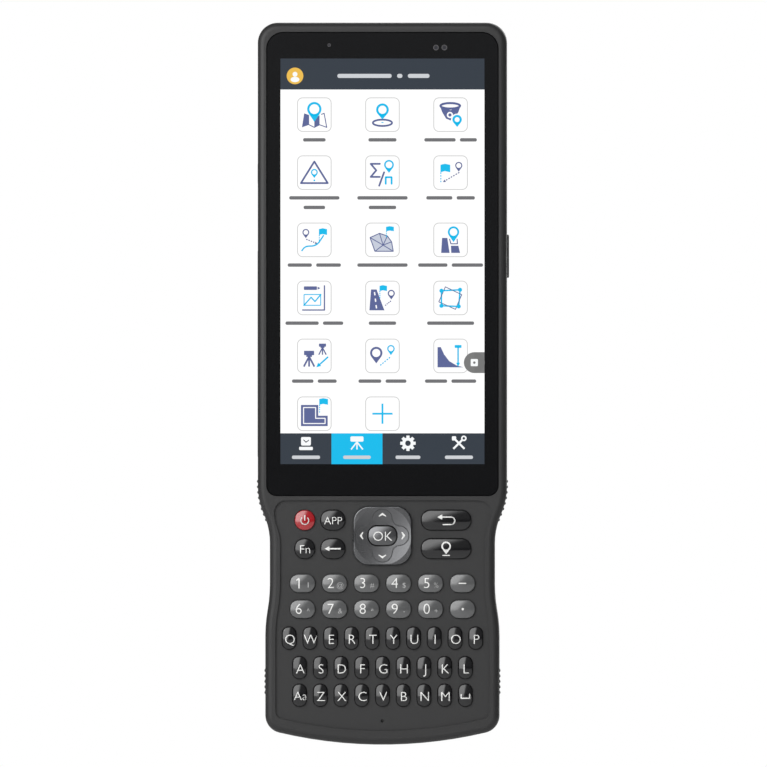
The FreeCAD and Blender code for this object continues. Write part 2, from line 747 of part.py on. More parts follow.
def cut_key_openings(body):
    """Cut one opening for each key through the keypad panel, row by row."""
    for row in KEY_ROWS:
        opening = cut(body, f"{row.names[0]}_opening", PANEL_BACK, PANEL_FRONT,
                      lambda sketch: rounded_rectangle(sketch, f"{row.width} + 2 * {row.gap}",
                                                       f"{row.height} + 2 * {row.gap}",
                                                       f"{row.round} + {row.gap}"),
                      across=key_x(row, 0), up=at(row.up))
        if len(row.names) > 1:
            repeat(body, opening, len(row.names), f"{row.pitch} * {len(row.names) - 1}")
    cut(body, "pad_opening", PANEL_BACK, PANEL_FRONT,
        lambda sketch: rounded_rectangle(sketch, "pad_size + 2 * pad_gap", "pad_size + 2 * pad_gap",
                                         "pad_round + pad_gap"), up=at("pad_up"))


def socket_door_room(sketch):
    rounded_rectangle(sketch, "door_width + 2 * door_gap",
                      f"{DOOR_TOP_UP} - {DOOR_BOTTOM_UP} + 2 * door_gap", "door_round")


def front_housing():
    """The front shell: rim, glass pocket, midplate, keypad panel with its openings and screw bosses."""
    body = new_body("front_housing")
    foot = at("0")
    fill(body, "shell", SPLIT, "thickness", lambda sketch: device_outline(sketch, "0"), up=foot)
    yield
    soften(body, "Fillet", "front_round", lies_at("thickness"))
    yield
    soften(body, "Chamfer", "seam_chamfer", lies_at(SPLIT))
    cut(body, "cavity", SPLIT, MIDPLATE_BACK, lambda sketch: device_outline(sketch, "wall"), up=foot)
    cut(body, "glass_pocket", GLASS_BACK, "thickness",
        lambda sketch: screen_outline(sketch, f"{GLASS_WIDTH} + 2 * glass_gap", "glass_up - glass_gap",
                                      "overall_height - glass_down + glass_gap", "glass_bottom_round",
                                      "glass_top_round"), up=foot)
    cut(body, "display_pocket", DISPLAY_BACK, GLASS_BACK,
        lambda sketch: screen_outline(sketch, f"{DISPLAY_WIDTH} + 2 * display_gap",
                                      f"{DISPLAY_BOTTOM} - display_gap", f"{DISPLAY_TOP} + display_gap",
                                      "display_round", "display_round"), up=foot)
    cut(body, "keypad_recess", PANEL_FRONT, "thickness",
        lambda sketch: device_outline(sketch, "keypad_margin", "keypad_top_up",
                                      f"{KEYPAD_TOP_HALF} + keypad_margin", "keypad_top_round",
                                      "keypad_shoulder_up", "keypad_chin"), up=foot)
    cut(body, "keypad_cavity", MIDPLATE_BACK, PANEL_BACK,
        lambda sketch: device_outline(sketch, "wall", "keypad_top_up - keypad_cavity_drop",
                                      f"{KEYPAD_TOP_HALF} + wall + keypad_cavity_widening",
                                      "keypad_top_round",
                                      "keypad_shoulder_up - keypad_cavity_drop"), up=foot)
    at_screws(lambda tag, reach, **place: fill(body, f"boss_{tag}", SPLIT, reach,
                                               lambda sketch: circle(sketch, "boss_radius"), **place))
    at_screws(lambda tag, reach, **place: cut(body, f"pilot_{tag}", SPLIT,
                                              f"{SPLIT} + screw_bite + pilot_spare",
                                              lambda sketch: circle(sketch, "screw_radius + pilot_gap"),
                                              **place))

    def from_the_side(what, work, low, high, draw, height, level=SIDE_LEVEL):
        work(body, what, low, high, draw, plane="YZ_Plane", across=f"-{level}", up=at(height))

    def key_room(length):
        return lambda sketch: rounded_rectangle(sketch, "side_key_width + 2 * side_key_gap",
                                                f"{length} + 2 * side_key_gap",
                                                "side_key_round + side_key_gap")

    from_the_side("measure_opening", cut, f"{UPPER_HALF} - wall - cut_spare", f"{UPPER_HALF} + cut_spare",
                  key_room("measure_length"), MEASURE_UP)
    from_the_side("user_opening", cut, f"-{UPPER_HALF} - cut_spare", f"-{UPPER_HALF} + wall + cut_spare",
                  key_room("user_length"), USER_UP)
    from_the_side("port_block", fill, f"-{UPPER_HALF} + wall - weld", f"-{DOOR_FLOOR_HALF} + port_block",
                  lambda sketch: rounded_rectangle(sketch, f"{MIDPLATE_BACK} - {SPLIT}",
                                                   f"{DOOR_TOP_UP} - {DOOR_BOTTOM_UP} + 2 * port_block_margin",
                                                   "door_round"),
                  DOOR_MIDDLE_UP, f"(({MIDPLATE_BACK} + {SPLIT}) / 2)")
    from_the_side("door_recess", cut, f"-{UPPER_HALF} - cut_spare", f"-{DOOR_FLOOR_HALF}", socket_door_room,
                  DOOR_MIDDLE_UP)
    from_the_side("usb_opening", cut, f"-{UPPER_HALF}", f"-{DOOR_FLOOR_HALF} + port_block + weld",
                  lambda sketch: rounded_rectangle(sketch, "usb_height + 2 * usb_gap",
                                                   "usb_width + 2 * usb_gap", "usb_height / 2"),
                  USB_UP, f"({BOARD_BACK} - usb_height / 2)")
    cut_key_openings(body)
    cut(body, "microphone", PANEL_BACK, PANEL_FRONT, lambda sketch: circle(sketch, "microphone_radius"),
        up=at("microphone_up"))
    return body


def rear_housing():
    """The rear shell: flat back, battery bay, camera window, speaker slots and bracket inserts."""
    body = new_body("rear_housing")
    foot = at("0")
    fill(body, "shell", "0", SPLIT, lambda sketch: device_outline(sketch, "0"), up=foot)
    yield
    soften(body, "Fillet", f"min(rear_round; {SPLIT} - 1)", lies_at("0"))
    yield
    soften(body, "Chamfer", "seam_chamfer", lies_at(SPLIT))
    cut(body, "cavity", "back_wall", SPLIT, lambda sketch: device_outline(sketch, "wall"), up=foot)
    bay = {"up": at(COVER_MIDDLE_UP)}
    fill(body, "ledge", "back_wall", "back_wall + ledge_thickness",
         lambda sketch: rounded_rectangle(sketch, "cover_width + 2 * ledge", f"{COVER_HEIGHT} + 2 * ledge",
                                          "cover_round"), **bay)
    fill(body, "bay", "back_wall", BAY_FRONT,
         lambda sketch: rounded_rectangle(sketch, "cover_width - 2 * bay_inset + 2 * bay_wall",
                                          f"{COVER_HEIGHT} - 2 * bay_inset + 2 * bay_wall",
                                          "cover_round"), **bay)
    cut(body, "cover_recess", "0", "back_wall",
        lambda sketch: rounded_rectangle(sketch, "cover_width", COVER_HEIGHT, "cover_round"), **bay)
    cut(body, "bay_room", "0", BAY_FLOOR,
        lambda sketch: rounded_rectangle(sketch, "cover_width - 2 * bay_inset",
                                         f"{COVER_HEIGHT} - 2 * bay_inset", "cover_round - bay_round_drop"),
                                         **bay)
    at_screws(lambda tag, reach, **place: fill(body, f"boss_{tag}", "back_wall", SPLIT,
                                               lambda sketch: circle(sketch, "boss_radius"), **place))
    at_screws(lambda tag, reach, **place: cut(body, f"clearance_{tag}", "0", SPLIT,
                                              lambda sketch: circle(sketch, "screw_hole_radius"), **place))
    at_screws(lambda tag, reach, **place: cut(body, f"recess_{tag}", "0", "head_recess",
                                              lambda sketch: circle(sketch, "head_radius + head_gap"),
                                              **place))
    for side in (-1, 1):
        for end in (-1, 1):
            place = {"across": f"{side} * insert_spacing_x / 2", "up": f"{end} * insert_spacing_z / 2"}
            tag = f"insert_{'right' if side > 0 else 'left'}_{'top' if end > 0 else 'bottom'}"
            fill(body, f"{tag}_boss", "back_wall", f"{SPLIT} - insert_boss_gap",
                 lambda sketch: circle(sketch, "insert_boss_radius"), **place)
            cut(body, tag, "0", "insert_depth", lambda sketch: circle(sketch, "insert_radius"), **place)
    camera = {"up": at(CAMERA_UP)}
    cut(body, "window_recess", "0", "window_depth",
        lambda sketch: rounded_rectangle(sketch, "window_width", "window_height", "window_round"),
        across=WINDOW_X, **camera)
    cut(body, "lens_hole", "0", "back_wall", lambda sketch: circle(sketch, "lens_radius"),
        across=CAMERA_X, **camera)
    cut(body, "flash_hole", "0", "back_wall", lambda sketch: circle(sketch, "flash_radius"),
        across=f"{CAMERA_X} - flash_offset", **camera)
    slot = cut(body, "speaker_slot", "0", "back_wall",
               lambda sketch: rounded_rectangle(sketch, "slot_width", "slot_length",
                                                "slot_width / 2 - end_spare"),
               across=f"{SPEAKER_X} - slot_pitch * (slot_count - 1) / 2", **camera)
    repeat(body, slot, "slot_count", "slot_pitch * (slot_count - 1)")
    return body


def cover_glass():
    body = new_body("cover_glass")
    fill(body, "plate", f"{GLASS_BACK} + glue", GLASS_FRONT,
         lambda sketch: screen_outline(sketch, GLASS_WIDTH, "glass_up", "overall_height - glass_down",
                                       "glass_bottom_round - glass_gap", "glass_top_round - glass_gap"),
         up=at("0"))
    yield
    soften(body, "Chamfer", "glass_chamfer", lies_at(GLASS_FRONT))
    return body


def display_module():
    body = new_body("display_module")
    fill(body, "panel", f"{DISPLAY_BACK} + display_air", f"{GLASS_BACK} - glue",
         lambda sketch: screen_outline(sketch, DISPLAY_WIDTH, DISPLAY_BOTTOM, DISPLAY_TOP,
                                       "display_round - display_gap", "display_round - display_gap"),
         up=at("0"))
    return body


def keypad_mat():
    """The silicone mat between the keys and the board, with a hole round each stem."""
    body = new_body("keypad_mat")
    foot = at("0")

    def mat(extra):
        return lambda sketch: device_outline(sketch, f"mat_inset + {extra}",
                                             f"keypad_top_up - mat_drop - {extra}",
                                             f"{KEYPAD_TOP_HALF} + mat_inset - mat_draw", "mat_round",
                                             "keypad_shoulder_up - mat_drop")

    fill(body, "sheet", BOARD_FRONT, MAT_FRONT, mat("0"), up=foot)
    cut(body, "hollow", BOARD_FRONT, MAT_BACK, mat("mat_rim"), up=foot)
    for row in KEY_ROWS:
        hole = cut(body, f"{row.names[0]}_hole", MAT_BACK, MAT_FRONT,
                   lambda sketch: circle(sketch, "stem_radius + mat_hole_gap"),
                   across=key_x(row, 0), up=at(row.up))
        if len(row.names) > 1:
            repeat(body, hole, len(row.names), f"{row.pitch} * {len(row.names) - 1}")
    for tag, across in (("ok", "0"), ("pad_left", f"-{PAD_STEM_X}"), ("pad_right", PAD_STEM_X)):
        cut(body, f"{tag}_hole", MAT_BACK, MAT_FRONT,
            lambda sketch: circle(sketch, "stem_radius + mat_hole_gap"), across=across, up=at("pad_up"))
    at_screws(lambda tag, reach, **place: cut(body, f"notch_{tag}", BOARD_FRONT, MAT_FRONT,
                                              lambda sketch: circle(sketch, "boss_radius + mat_notch_gap"),
                                              **place),
              SCREWS[2:])
    return body


def battery_cover():
    """The outer plate of the battery pack, flush with the back, with a finger notch and grip grooves."""
    body = new_body("battery_cover")
    middle = at(COVER_MIDDLE_UP)
    fill(body, "plate", "0", "cover_thickness",
         lambda sketch: rounded_rectangle(sketch, "cover_width - 2 * cover_gap",
                                          f"{COVER_HEIGHT} - 2 * cover_gap", "cover_round - cover_gap"),
         up=middle)
    yield
    soften(body, "Fillet", "key_soft", lies_at("0"))
    cut(body, "notch", "0", "notch_depth",
        lambda sketch: rounded_rectangle(sketch, "notch_width", "notch_height",
                                         "notch_height / 2 - end_spare"),
        up=at("cover_up + notch_height"))
    groove = cut(body, "grip_groove", "0", "cover_groove_depth",
                 lambda sketch: rounded_rectangle(sketch, "cover_groove_width", "cover_groove_height",
                                                  "cover_groove_height / 2 - end_spare"),
                 up=at(f"cover_up + {COVER_HEIGHT} - cover_groove_down"
                        " - cover_groove_pitch * (cover_groove_count - 1)"))
    repeat(body, groove, "cover_groove_count", "cover_groove_pitch * (cover_groove_count - 1)", "V_Axis")
    return body


def battery_pack():
    body = new_body("battery_pack")
    fill(body, "cells", "cover_thickness", f"{BAY_FLOOR} - battery_gap",
         lambda sketch: rounded_rectangle(sketch, "cover_width - 2 * bay_inset - 2 * battery_gap",
                                          f"{COVER_HEIGHT} - 2 * bay_inset - 2 * battery_gap",
                                          "battery_round"),
         up=at(COVER_MIDDLE_UP))
    yield
    soften(body, "Fillet", "battery_soft", lies_at(f"{BAY_FLOOR} - battery_gap"))
    return body


def side_key(name, side, length, proud, up):
    """A key through the side wall, pressed inwards along X; side is 1 for right and -1 for left."""
    body = new_body(name)

    def outline(growth):
        return lambda sketch: rounded_rectangle(sketch, f"side_key_width + 2 * {growth}",
                                                f"{length} + 2 * {growth}", f"side_key_round + {growth}")

    flange_out = f"({UPPER_HALF} - wall - flange_gap)"
    flange_in = f"({flange_out} - flange_thickness)"
    fill(body, "cap", flange_out, f"{UPPER_HALF} + {proud}", outline("0"), plane="YZ_Plane")
    yield
    outer = value(f"{UPPER_HALF} + {proud}")
    soften(body, "Fillet", "key_soft", lambda edge: edge.BoundBox.XMin > outer - TINY)
    fill(body, "flange", flange_in, flange_out, outline("flange_width"), plane="YZ_Plane")
    fill(body, "stem", f"{SWITCH_FACE} + side_travel + dome_gap", flange_in,
         lambda sketch: circle(sketch, "stem_radius"), plane="YZ_Plane")
    body.Placement = Placement(Vector(), Rotation(Vector(0, 0, 1), 0 if side > 0 else 180))
    put(body, forward=SIDE_LEVEL, up=at(up))
    return body


def port_cover():
    """The rubber door over the socket: a round-edged strip that swings about its rear edge."""
    body = new_body("port_cover")
    fill(body, "strip", "0", f"{DOOR_TOP_UP} - {DOOR_BOTTOM_UP}",
         lambda sketch: rounded_rectangle(sketch, "door_thickness", "door_width",
                                          "door_thickness / 2 - end_spare"), plane="XY_Plane")
    put(body, across=f"-({UPPER_HALF} + door_proud - door_thickness / 2)", forward=SIDE_LEVEL,
        up=at(DOOR_BOTTOM_UP))
    return body


# ---- board and screws ----


def group(name, pieces):
    """Collect separate solids in one node."""
    node = document.addObject("Part::Compound", name)
    node.Label = name
    node.Links = pieces
    return node


def block(name, across, up, width, height, low, high):
    """A box about a middle in X and in height, between two levels."""
    box = document.addObject("Part::Box", name)
    for side, formula in (("Length", width), ("Width", f"({high}) - ({low})"), ("Height", height)):
        box.setExpression(side, bound(formula))
    put(box, f"({across}) - ({width}) / 2", high, f"{at(up)} - ({height}) / 2")
    return box


def disc(name, across, up, radius, low, high):
    """A round solid whose axis points forward, between two levels."""
    cylinder = document.addObject("Part::Cylinder", name)
    cylinder.setExpression("Radius", bound(radius))
    cylinder.setExpression("Height", bound(f"({high}) - ({low})"))
    cylinder.Placement = Placement(Vector(), Rotation(Vector(1, 0, 0), 90))
    put(cylinder, across, low, at(up))
    return cylinder


def board():
    body = new_body("board")
    foot = at("0")
    fill(body, "sheet", BOARD_BACK, BOARD_FRONT,
         lambda sketch: device_outline(sketch, "board_inset",
                                       top_half=f"({UPPER_HALF} - board_upper_inset + board_inset)"), up=foot)
    tabs = (("usb", -1, "usb_width + 2 * tab_margin", USB_UP),
            ("measure", 1, "side_switch_width + 2 * tab_margin", MEASURE_UP),
            ("user", -1, "side_switch_width + 2 * tab_margin", USER_UP))
    for tag, side, height, up in tabs:
        fill(body, f"{tag}_tab", BOARD_BACK, BOARD_FRONT,
             lambda sketch: rounded_rectangle(sketch, "board_tab", height, "tab_round"),
             across=f"{side} * ({SWITCH_FACE} - board_tab / 2 - tab_round)", up=at(up))
    at_screws(lambda tag, reach, **place: cut(body, f"notch_{tag}", BOARD_BACK, BOARD_FRONT,
                                              lambda sketch: circle(sketch, "boss_radius + board_notch_gap"),
                                              **place),
              SCREWS[2:])
    return body


def usb_socket():
    """The socket's steel shell, open towards the door, with its contact tongue."""
    body = new_body("usb_socket")
    mouth = f"(-{DOOR_FLOOR_HALF} + usb_gap)"
    place = {"plane": "YZ_Plane", "across": f"-({BOARD_BACK} - usb_height / 2)", "up": at(USB_UP)}
    fill(body, "shell", mouth, f"{mouth} + usb_length",
         lambda sketch: rounded_rectangle(sketch, "usb_height", "usb_width",
                                          "usb_height / 2 - usb_end_spare"), **place)
    cut(body, "hollow", mouth, f"{mouth} + usb_length - usb_end",
        lambda sketch: rounded_rectangle(sketch, "usb_height - 2 * usb_wall", "usb_width - 2 * usb_wall",
                                         "usb_height / 2 - usb_wall - usb_end_spare"), **place)
    fill(body, "tongue", f"{mouth} + usb_end", f"{mouth} + usb_length - usb_end",
         lambda sketch: rounded_rectangle(sketch, "usb_tongue_thickness", "usb_width - 2 * usb_tongue_border",
                                          "usb_tongue_round"), **place)
    return body


def main_board():
    """The board with everything soldered to it: switches, socket, camera, speaker box and chips."""
    pieces = [board(), usb_socket()]
    for row in KEY_ROWS + [OK_KEY]:
        for index, name in enumerate(row.names):
            pieces.append(disc(f"dome_{name}", key_x(row, index), row.up, "dome_radius", BOARD_FRONT,
                               DOME_TOP))
    for tag, across in (("left", f"-{PAD_STEM_X}"), ("right", PAD_STEM_X)):
        pieces.append(disc(f"dome_pad_{tag}", across, "pad_up", "dome_radius", BOARD_FRONT, DOME_TOP))
    for tag, side, up in (("measure", 1, MEASURE_UP), ("user", -1, USER_UP)):
        pieces.append(block(f"switch_{tag}", f"{side} * ({SWITCH_FACE} - side_switch_width / 2)", up,
                            "side_switch_width", "side_switch_width",
                            f"{BOARD_BACK} - side_switch_height", BOARD_BACK))
    pieces.append(disc("camera", CAMERA_X, CAMERA_UP, "camera_radius", "back_wall + part_gap", BOARD_BACK))
    pieces.append(block("speaker", SPEAKER_X, CAMERA_UP, "speaker_width", "speaker_height",
                        "back_wall + part_gap", BOARD_BACK))
    chips = (("processor", "processor_x", "upper_chips_down"), ("memory", "-memory_x", "upper_chips_down"),
             ("modem", "0", "lower_chip_down"))
    for name, across, down in chips:
        size = f"{name}_size"
        pieces.append(block(name, across, f"overall_height - {down}", size, size,
                            f"{BOARD_BACK} - chip_height", BOARD_BACK))
    return group("main_board", pieces)


def case_screw(tag, across, up):
    """A screw from the back: a round head with a hexagon socket on a plain shank."""
    head = disc(f"head_{tag}", across, up, "head_radius", "head_recess - head_height", "head_recess")
    shank = disc(f"shank_{tag}", across, up, "screw_radius", "head_recess", f"{SPLIT} + screw_bite")
    whole = document.addObject("Part::Fuse", f"blank_{tag}")
    whole.Base, whole.Tool = head, shank
    socket = document.addObject("Part::Prism", f"hexagon_{tag}")
    socket.Polygon = 6
    socket.setExpression("Circumradius", bound("hex_radius"))
    socket.setExpression("Height", bound("hex_depth"))
    socket.Placement = Placement(Vector(), Rotation(Vector(1, 0, 0), 90))
    put(socket, across, "head_recess - head_height", at(up))
    screw = document.addObject("Part::Cut", f"screw_{tag}")
    screw.Base, screw.Tool = whole, socket
    return screw


def case_screws():
    return group("case_screws", [case_screw(f"{number}_{'right' if side > 0 else 'left'}", f"{side} * {half}",
                                            up)
                                 for number, (half, up, _) in enumerate(SCREWS) for side in (1, -1)])


def built_and_sound(node):
    """Stop unless every object under the node is up to date and its shape is whole."""
    for item in [node] + node.OutListRecursive:
        if {"Invalid", "Error"} & set(item.State):
            raise RuntimeError(f"{item.Label} failed: {item.State}")
    if node.Shape.isNull() or not node.Shape.isValid() or not node.Shape.Solids:
        raise RuntimeError(f"{node.Label} has no valid solid")


def finished(makers):
    """Run the makers side by side, and bring the document up to date wherever they pause for a shape."""
    nodes, running = [], list(makers)
    while running:
        for maker in running[:]:
            try:
                next(maker)
            except StopIteration as end:
                nodes.append(end.value)
                running.remove(maker)
        document.recompute()
    return nodes


def main():
    nodes = [display_module(), keypad_mat(), main_board(), port_cover(), case_screws()]
    nodes += finished(keys() + [
        side_key("measure_key", 1, "measure_length", "measure_proud", MEASURE_UP),
        side_key("user_key", -1, "user_length", "user_proud", USER_UP),
        front_housing(), rear_housing(), cover_glass(), battery_pack(), battery_cover(),
    ])
    for node in nodes:
        built_and_sound(node)
    os.makedirs("parts", exist_ok=True)
    for node in nodes:
        node.Shape.exportStep(os.path.join("parts", f"{node.Label}.step"))
        print(f"{node.Label}: {len(node.Shape.Solids)} solid(s), {node.Shape.Volume:.1f} mm3")


main()
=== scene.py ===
"""Looks of a rugged handheld data collector: finishes, key legends, grips, display picture, camera, stage."""
import json
import math

import bmesh
import bpy
from mathutils import Matrix, Vector
from mathutils.bvhtree import BVHTree

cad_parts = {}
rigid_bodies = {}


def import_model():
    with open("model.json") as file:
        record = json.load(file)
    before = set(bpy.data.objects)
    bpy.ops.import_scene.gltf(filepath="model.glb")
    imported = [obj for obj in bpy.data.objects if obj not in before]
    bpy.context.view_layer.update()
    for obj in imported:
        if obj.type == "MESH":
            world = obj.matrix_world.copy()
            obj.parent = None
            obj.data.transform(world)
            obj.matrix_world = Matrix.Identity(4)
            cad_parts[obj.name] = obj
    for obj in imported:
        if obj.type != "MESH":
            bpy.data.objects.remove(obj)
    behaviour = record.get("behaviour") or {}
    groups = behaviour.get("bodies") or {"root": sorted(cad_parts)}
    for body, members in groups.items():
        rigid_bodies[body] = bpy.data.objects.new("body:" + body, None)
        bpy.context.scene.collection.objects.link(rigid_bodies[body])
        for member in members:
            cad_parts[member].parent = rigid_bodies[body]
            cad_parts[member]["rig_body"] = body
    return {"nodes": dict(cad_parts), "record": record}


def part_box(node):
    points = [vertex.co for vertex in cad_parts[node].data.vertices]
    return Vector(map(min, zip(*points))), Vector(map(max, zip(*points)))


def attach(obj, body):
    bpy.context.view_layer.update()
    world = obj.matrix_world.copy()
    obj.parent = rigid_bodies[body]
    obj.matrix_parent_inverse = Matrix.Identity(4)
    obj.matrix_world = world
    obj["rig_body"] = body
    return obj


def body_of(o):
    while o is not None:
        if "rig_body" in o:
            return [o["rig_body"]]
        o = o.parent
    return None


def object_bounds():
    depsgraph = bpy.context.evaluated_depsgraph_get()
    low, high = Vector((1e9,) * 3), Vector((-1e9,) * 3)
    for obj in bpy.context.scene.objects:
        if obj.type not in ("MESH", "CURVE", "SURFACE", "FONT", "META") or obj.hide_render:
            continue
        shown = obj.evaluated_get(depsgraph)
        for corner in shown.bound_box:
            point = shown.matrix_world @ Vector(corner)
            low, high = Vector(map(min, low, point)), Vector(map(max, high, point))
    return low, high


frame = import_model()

bl_info = {
    "name": "Data collector looks",
    "version": (1, 0, 0),
    "blender": (4, 5, 0),
    "location": "View3D > Sidebar > Data collector",
    "description": "Finishes and fine detail of a handheld data collector",
    "category": "Object",
}

MM = 0.001
NODES = frame["nodes"]
CAD_BOX = [list(corner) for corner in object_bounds()]
GLASS_LOW, GLASS_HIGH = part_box("cover_glass")
HOUSING_LOW, HOUSING_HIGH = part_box("front_housing")


# ---- settings ----


def colour(name, description, default):
    return bpy.props.FloatVectorProperty(name=name, description=description, default=default,
                                         subtype="COLOR", size=3, min=0.0, max=1.0)


def length(name, description, millimetres):
    return bpy.props.FloatProperty(name=name, description=description, default=millimetres * MM,
                                   subtype="DISTANCE", unit="LENGTH", precision=5)


def factor(name, description, default, highest=1.0):
    return bpy.props.FloatProperty(name=name, description=description, default=default, min=0.0, max=highest)


def count(name, description, default):
    return bpy.props.IntProperty(name=name, description=description, default=default, min=1)


class CollectorFinishes(bpy.types.PropertyGroup):
    housing: colour("Housing", "Moulded shells and battery cover", (0.012, 0.012, 0.0123))
    letters: colour("Letter keys", "Black caps of the letter and function keys", (0.004, 0.004, 0.0045))
    digits: colour("Digit keys", "Smoke grey caps of the digit keys", (0.05, 0.051, 0.052))
    power: colour("Power key", "Red cap of the power key", (0.2, 0.002, 0.005))
    pad: colour("Direction pad", "Lacquer of the direction pad and its middle key", (0.08, 0.081, 0.084))
    side: colour("Side rubber", "Side keys and socket door", (0.028, 0.028, 0.029))
    glass: colour("Glass", "Printed black behind the cover glass", (0.0035, 0.0036, 0.004))
    grain: length("Grain", "Spacing of the moulded grain on the shells", 0.42)
    key_roughness: factor("Key roughness", "Roughness of the gloss key caps", 0.1)


class CollectorMarks(bpy.types.PropertyGroup):
    ink: colour("Ink", "Main legends on the keys", (0.46, 0.46, 0.45))
    faint: colour("Faint ink", "Second legends on the digit keys", (0.27, 0.27, 0.27))
    lift: length("Ink thickness", "How far a legend stands off its key", 0.03)
    step: length("Ink mesh step", "Spacing of the cuts that let a legend follow its key", 0.4)
    letter_height: length("Letter height", "Capital height on the letter keys", 2.75)
    digit_height: length("Digit height", "Digit height on the digit keys", 3.1)


class CollectorGrips(bpy.types.PropertyGroup):
    pitch: length("Rib spacing", "Spacing of the grip ribs along the sides", 1.68)
    width: length("Rib width", "Width of one grip rib", 1.05)
    stand: length("Rib height", "How far a grip rib stands off the side", 0.3)
    waist_top: length("Waist ribs top", "Height of the first rib at the waist", -90.6)
    waist_count: count("Waist ribs", "Number of ribs on each side of the waist", 8)
    foot_top: length("Foot ribs top", "Height of the first rib near the foot", -148.6)
    foot_count: count("Foot ribs", "Number of ribs on each side near the foot", 5)


class CollectorScreen(bpy.types.PropertyGroup):
    page: colour("Page", "Background of the shown page", (1.0, 1.0, 1.0))
    accent: colour("Accent", "Bright parts of the signs and the chosen tab", (0.004, 0.49, 0.82))
    slate: colour("Slate", "Dark parts of the signs", (0.105, 0.13, 0.305))
    bar: colour("Bars", "Top and bottom bars", (0.033, 0.043, 0.058))
    brightness: factor("Brightness", "Light given off by the display", 1.0, 5.0)
    half_width: length("Half width", "Half the width of the lit area", 31.24)
    top: length("Top", "Height of the lit area's top edge", 38.95)
    bottom: length("Bottom", "Height of the lit area's bottom edge", -85.3)


class CollectorCamera(bpy.types.PropertyGroup):
    window_width: length("Window width", "Width of the rear camera's window", 21.7)
    window_height: length("Window height", "Height of the rear camera's window", 11.7)
    window_middle: length("Window middle", "Sideways place of the window's middle", 16.95)
    lens_middle: length("Lens middle", "Sideways place of the lens", 22.2)
    flash_middle: length("Lamp middle", "Sideways place of the lamp", 11.7)
    height: length("Height", "Height of the camera's row", 31.0)


class CollectorBattery(bpy.types.PropertyGroup):
    contacts: count("Contacts", "Number of gold contacts on the pack", 5)
    pitch: length("Contact spacing", "Spacing of the gold contacts", 4.2)
    contact_width: length("Contact width", "Width of one contact", 2.2)
    contact_height: length("Contact height", "Height of one contact", 3.4)
    down: length("Contacts down", "From the pack's top edge to the middle of the contacts", 4.2)
    label_margin: length("Label margin", "From the label's edge to the pack's sides", 4.0)
    label_top: length("Label top", "From the pack's top edge to the label", 10.0)


class CollectorStudio(bpy.types.PropertyGroup):
    distance: length("Camera distance", "From the camera to the housing", 3000.0)
    picture_height: length("Picture height", "Height of the view at the housing", 234.9)
    aim_x: length("Aim sideways", "Where the camera's axis meets the housing, sideways", 0.32)
    aim_z: length("Aim height", "Where the camera's axis meets the housing, in height", -60.6)
    floor_drop: length("Floor drop", "Floor below the foot of the housing", 90.0)
    softbox: factor("Softbox", "Brightness of the softbox at the front", 5.2, 50.0)
    rear_softbox: factor("Rear softbox", "Brightness of the softbox behind", 5.0, 50.0)
    ambient: factor("Ambient", "Brightness of the rest of the studio", 0.2, 5.0)
    lamp_across: length("Lamp across", "Near lamp, left of the housing's middle", 250.0)
    lamp_ahead: length("Lamp ahead", "Near lamp, in front of the back", 230.0)
    lamp_height: length("Lamp height", "Near lamp, above the bracket inserts", 60.0)
    lamp_size: length("Lamp size", "Side of the near lamp", 200.0)
    lamp_power: factor("Lamp power", "Power of the near lamp in watts", 0.7, 50.0)


SETTINGS = {
    "collector_finishes": CollectorFinishes,
    "collector_marks": CollectorMarks,
    "collector_grips": CollectorGrips,
    "collector_screen": CollectorScreen,
    "collector_camera": CollectorCamera,
    "collector_battery": CollectorBattery,
    "collector_studio": CollectorStudio,
}


# ---- node trees ----


def add(tree, kind, inputs=None, **settings):
    """Add a node; an input is a value or another node's socket."""
    node = tree.nodes.new(kind)
    for name, setting in settings.items():
        setattr(node, name, setting)
    for key, source in (inputs or {}).items():
        if isinstance(source, bpy.types.NodeSocket):
            tree.links.new(source, node.inputs[key])
        else:
            node.inputs[key].default_value = source
    return node


def sum_of(tree, operation, first, second, clamp=False):
    node = add(tree, "ShaderNodeMath", {0: first, 1: second}, operation=operation, use_clamp=clamp)
    return node.outputs[0]


def ramp_of(tree, value, low, high, start=0.0, end=1.0, smooth=True):
    """Map a value from low..high to start..end."""
    node = add(tree, "ShaderNodeMapRange", {"Value": value, "From Min": low, "From Max": high,
                                            "To Min": start, "To Max": end},
               interpolation_type="SMOOTHSTEP" if smooth else "LINEAR")
    return node.outputs["Result"]


def mix_of(tree, share, first, second):
    node = add(tree, "ShaderNodeMix", {"Factor": share, 6: first, 7: second}, data_type="RGBA")
    return node.outputs[2]


def noise_of(tree, place, scale, detail=2.0, roughness=0.5):
    node = add(tree, "ShaderNodeTexNoise", {"Vector": place, "Scale": scale, "Detail": detail,
                                            "Roughness": roughness})
    return node.outputs["Fac"]


def group_of(name, inputs, outputs):
    """Start a node group with named sockets; returns the tree and its input and output nodes."""
    tree = bpy.data.node_groups.new(name, "ShaderNodeTree")
    for label, (kind, default) in inputs.items():
        socket = tree.interface.new_socket(label, in_out="INPUT", socket_type=kind)
        socket.default_value = default
    for label, kind in outputs.items():
        tree.interface.new_socket(label, in_out="OUTPUT", socket_type=kind)
    return tree, tree.nodes.new("NodeGroupInput"), tree.nodes.new("NodeGroupOutput")


COLOUR, VALUE = "NodeSocketColor", "NodeSocketFloat"


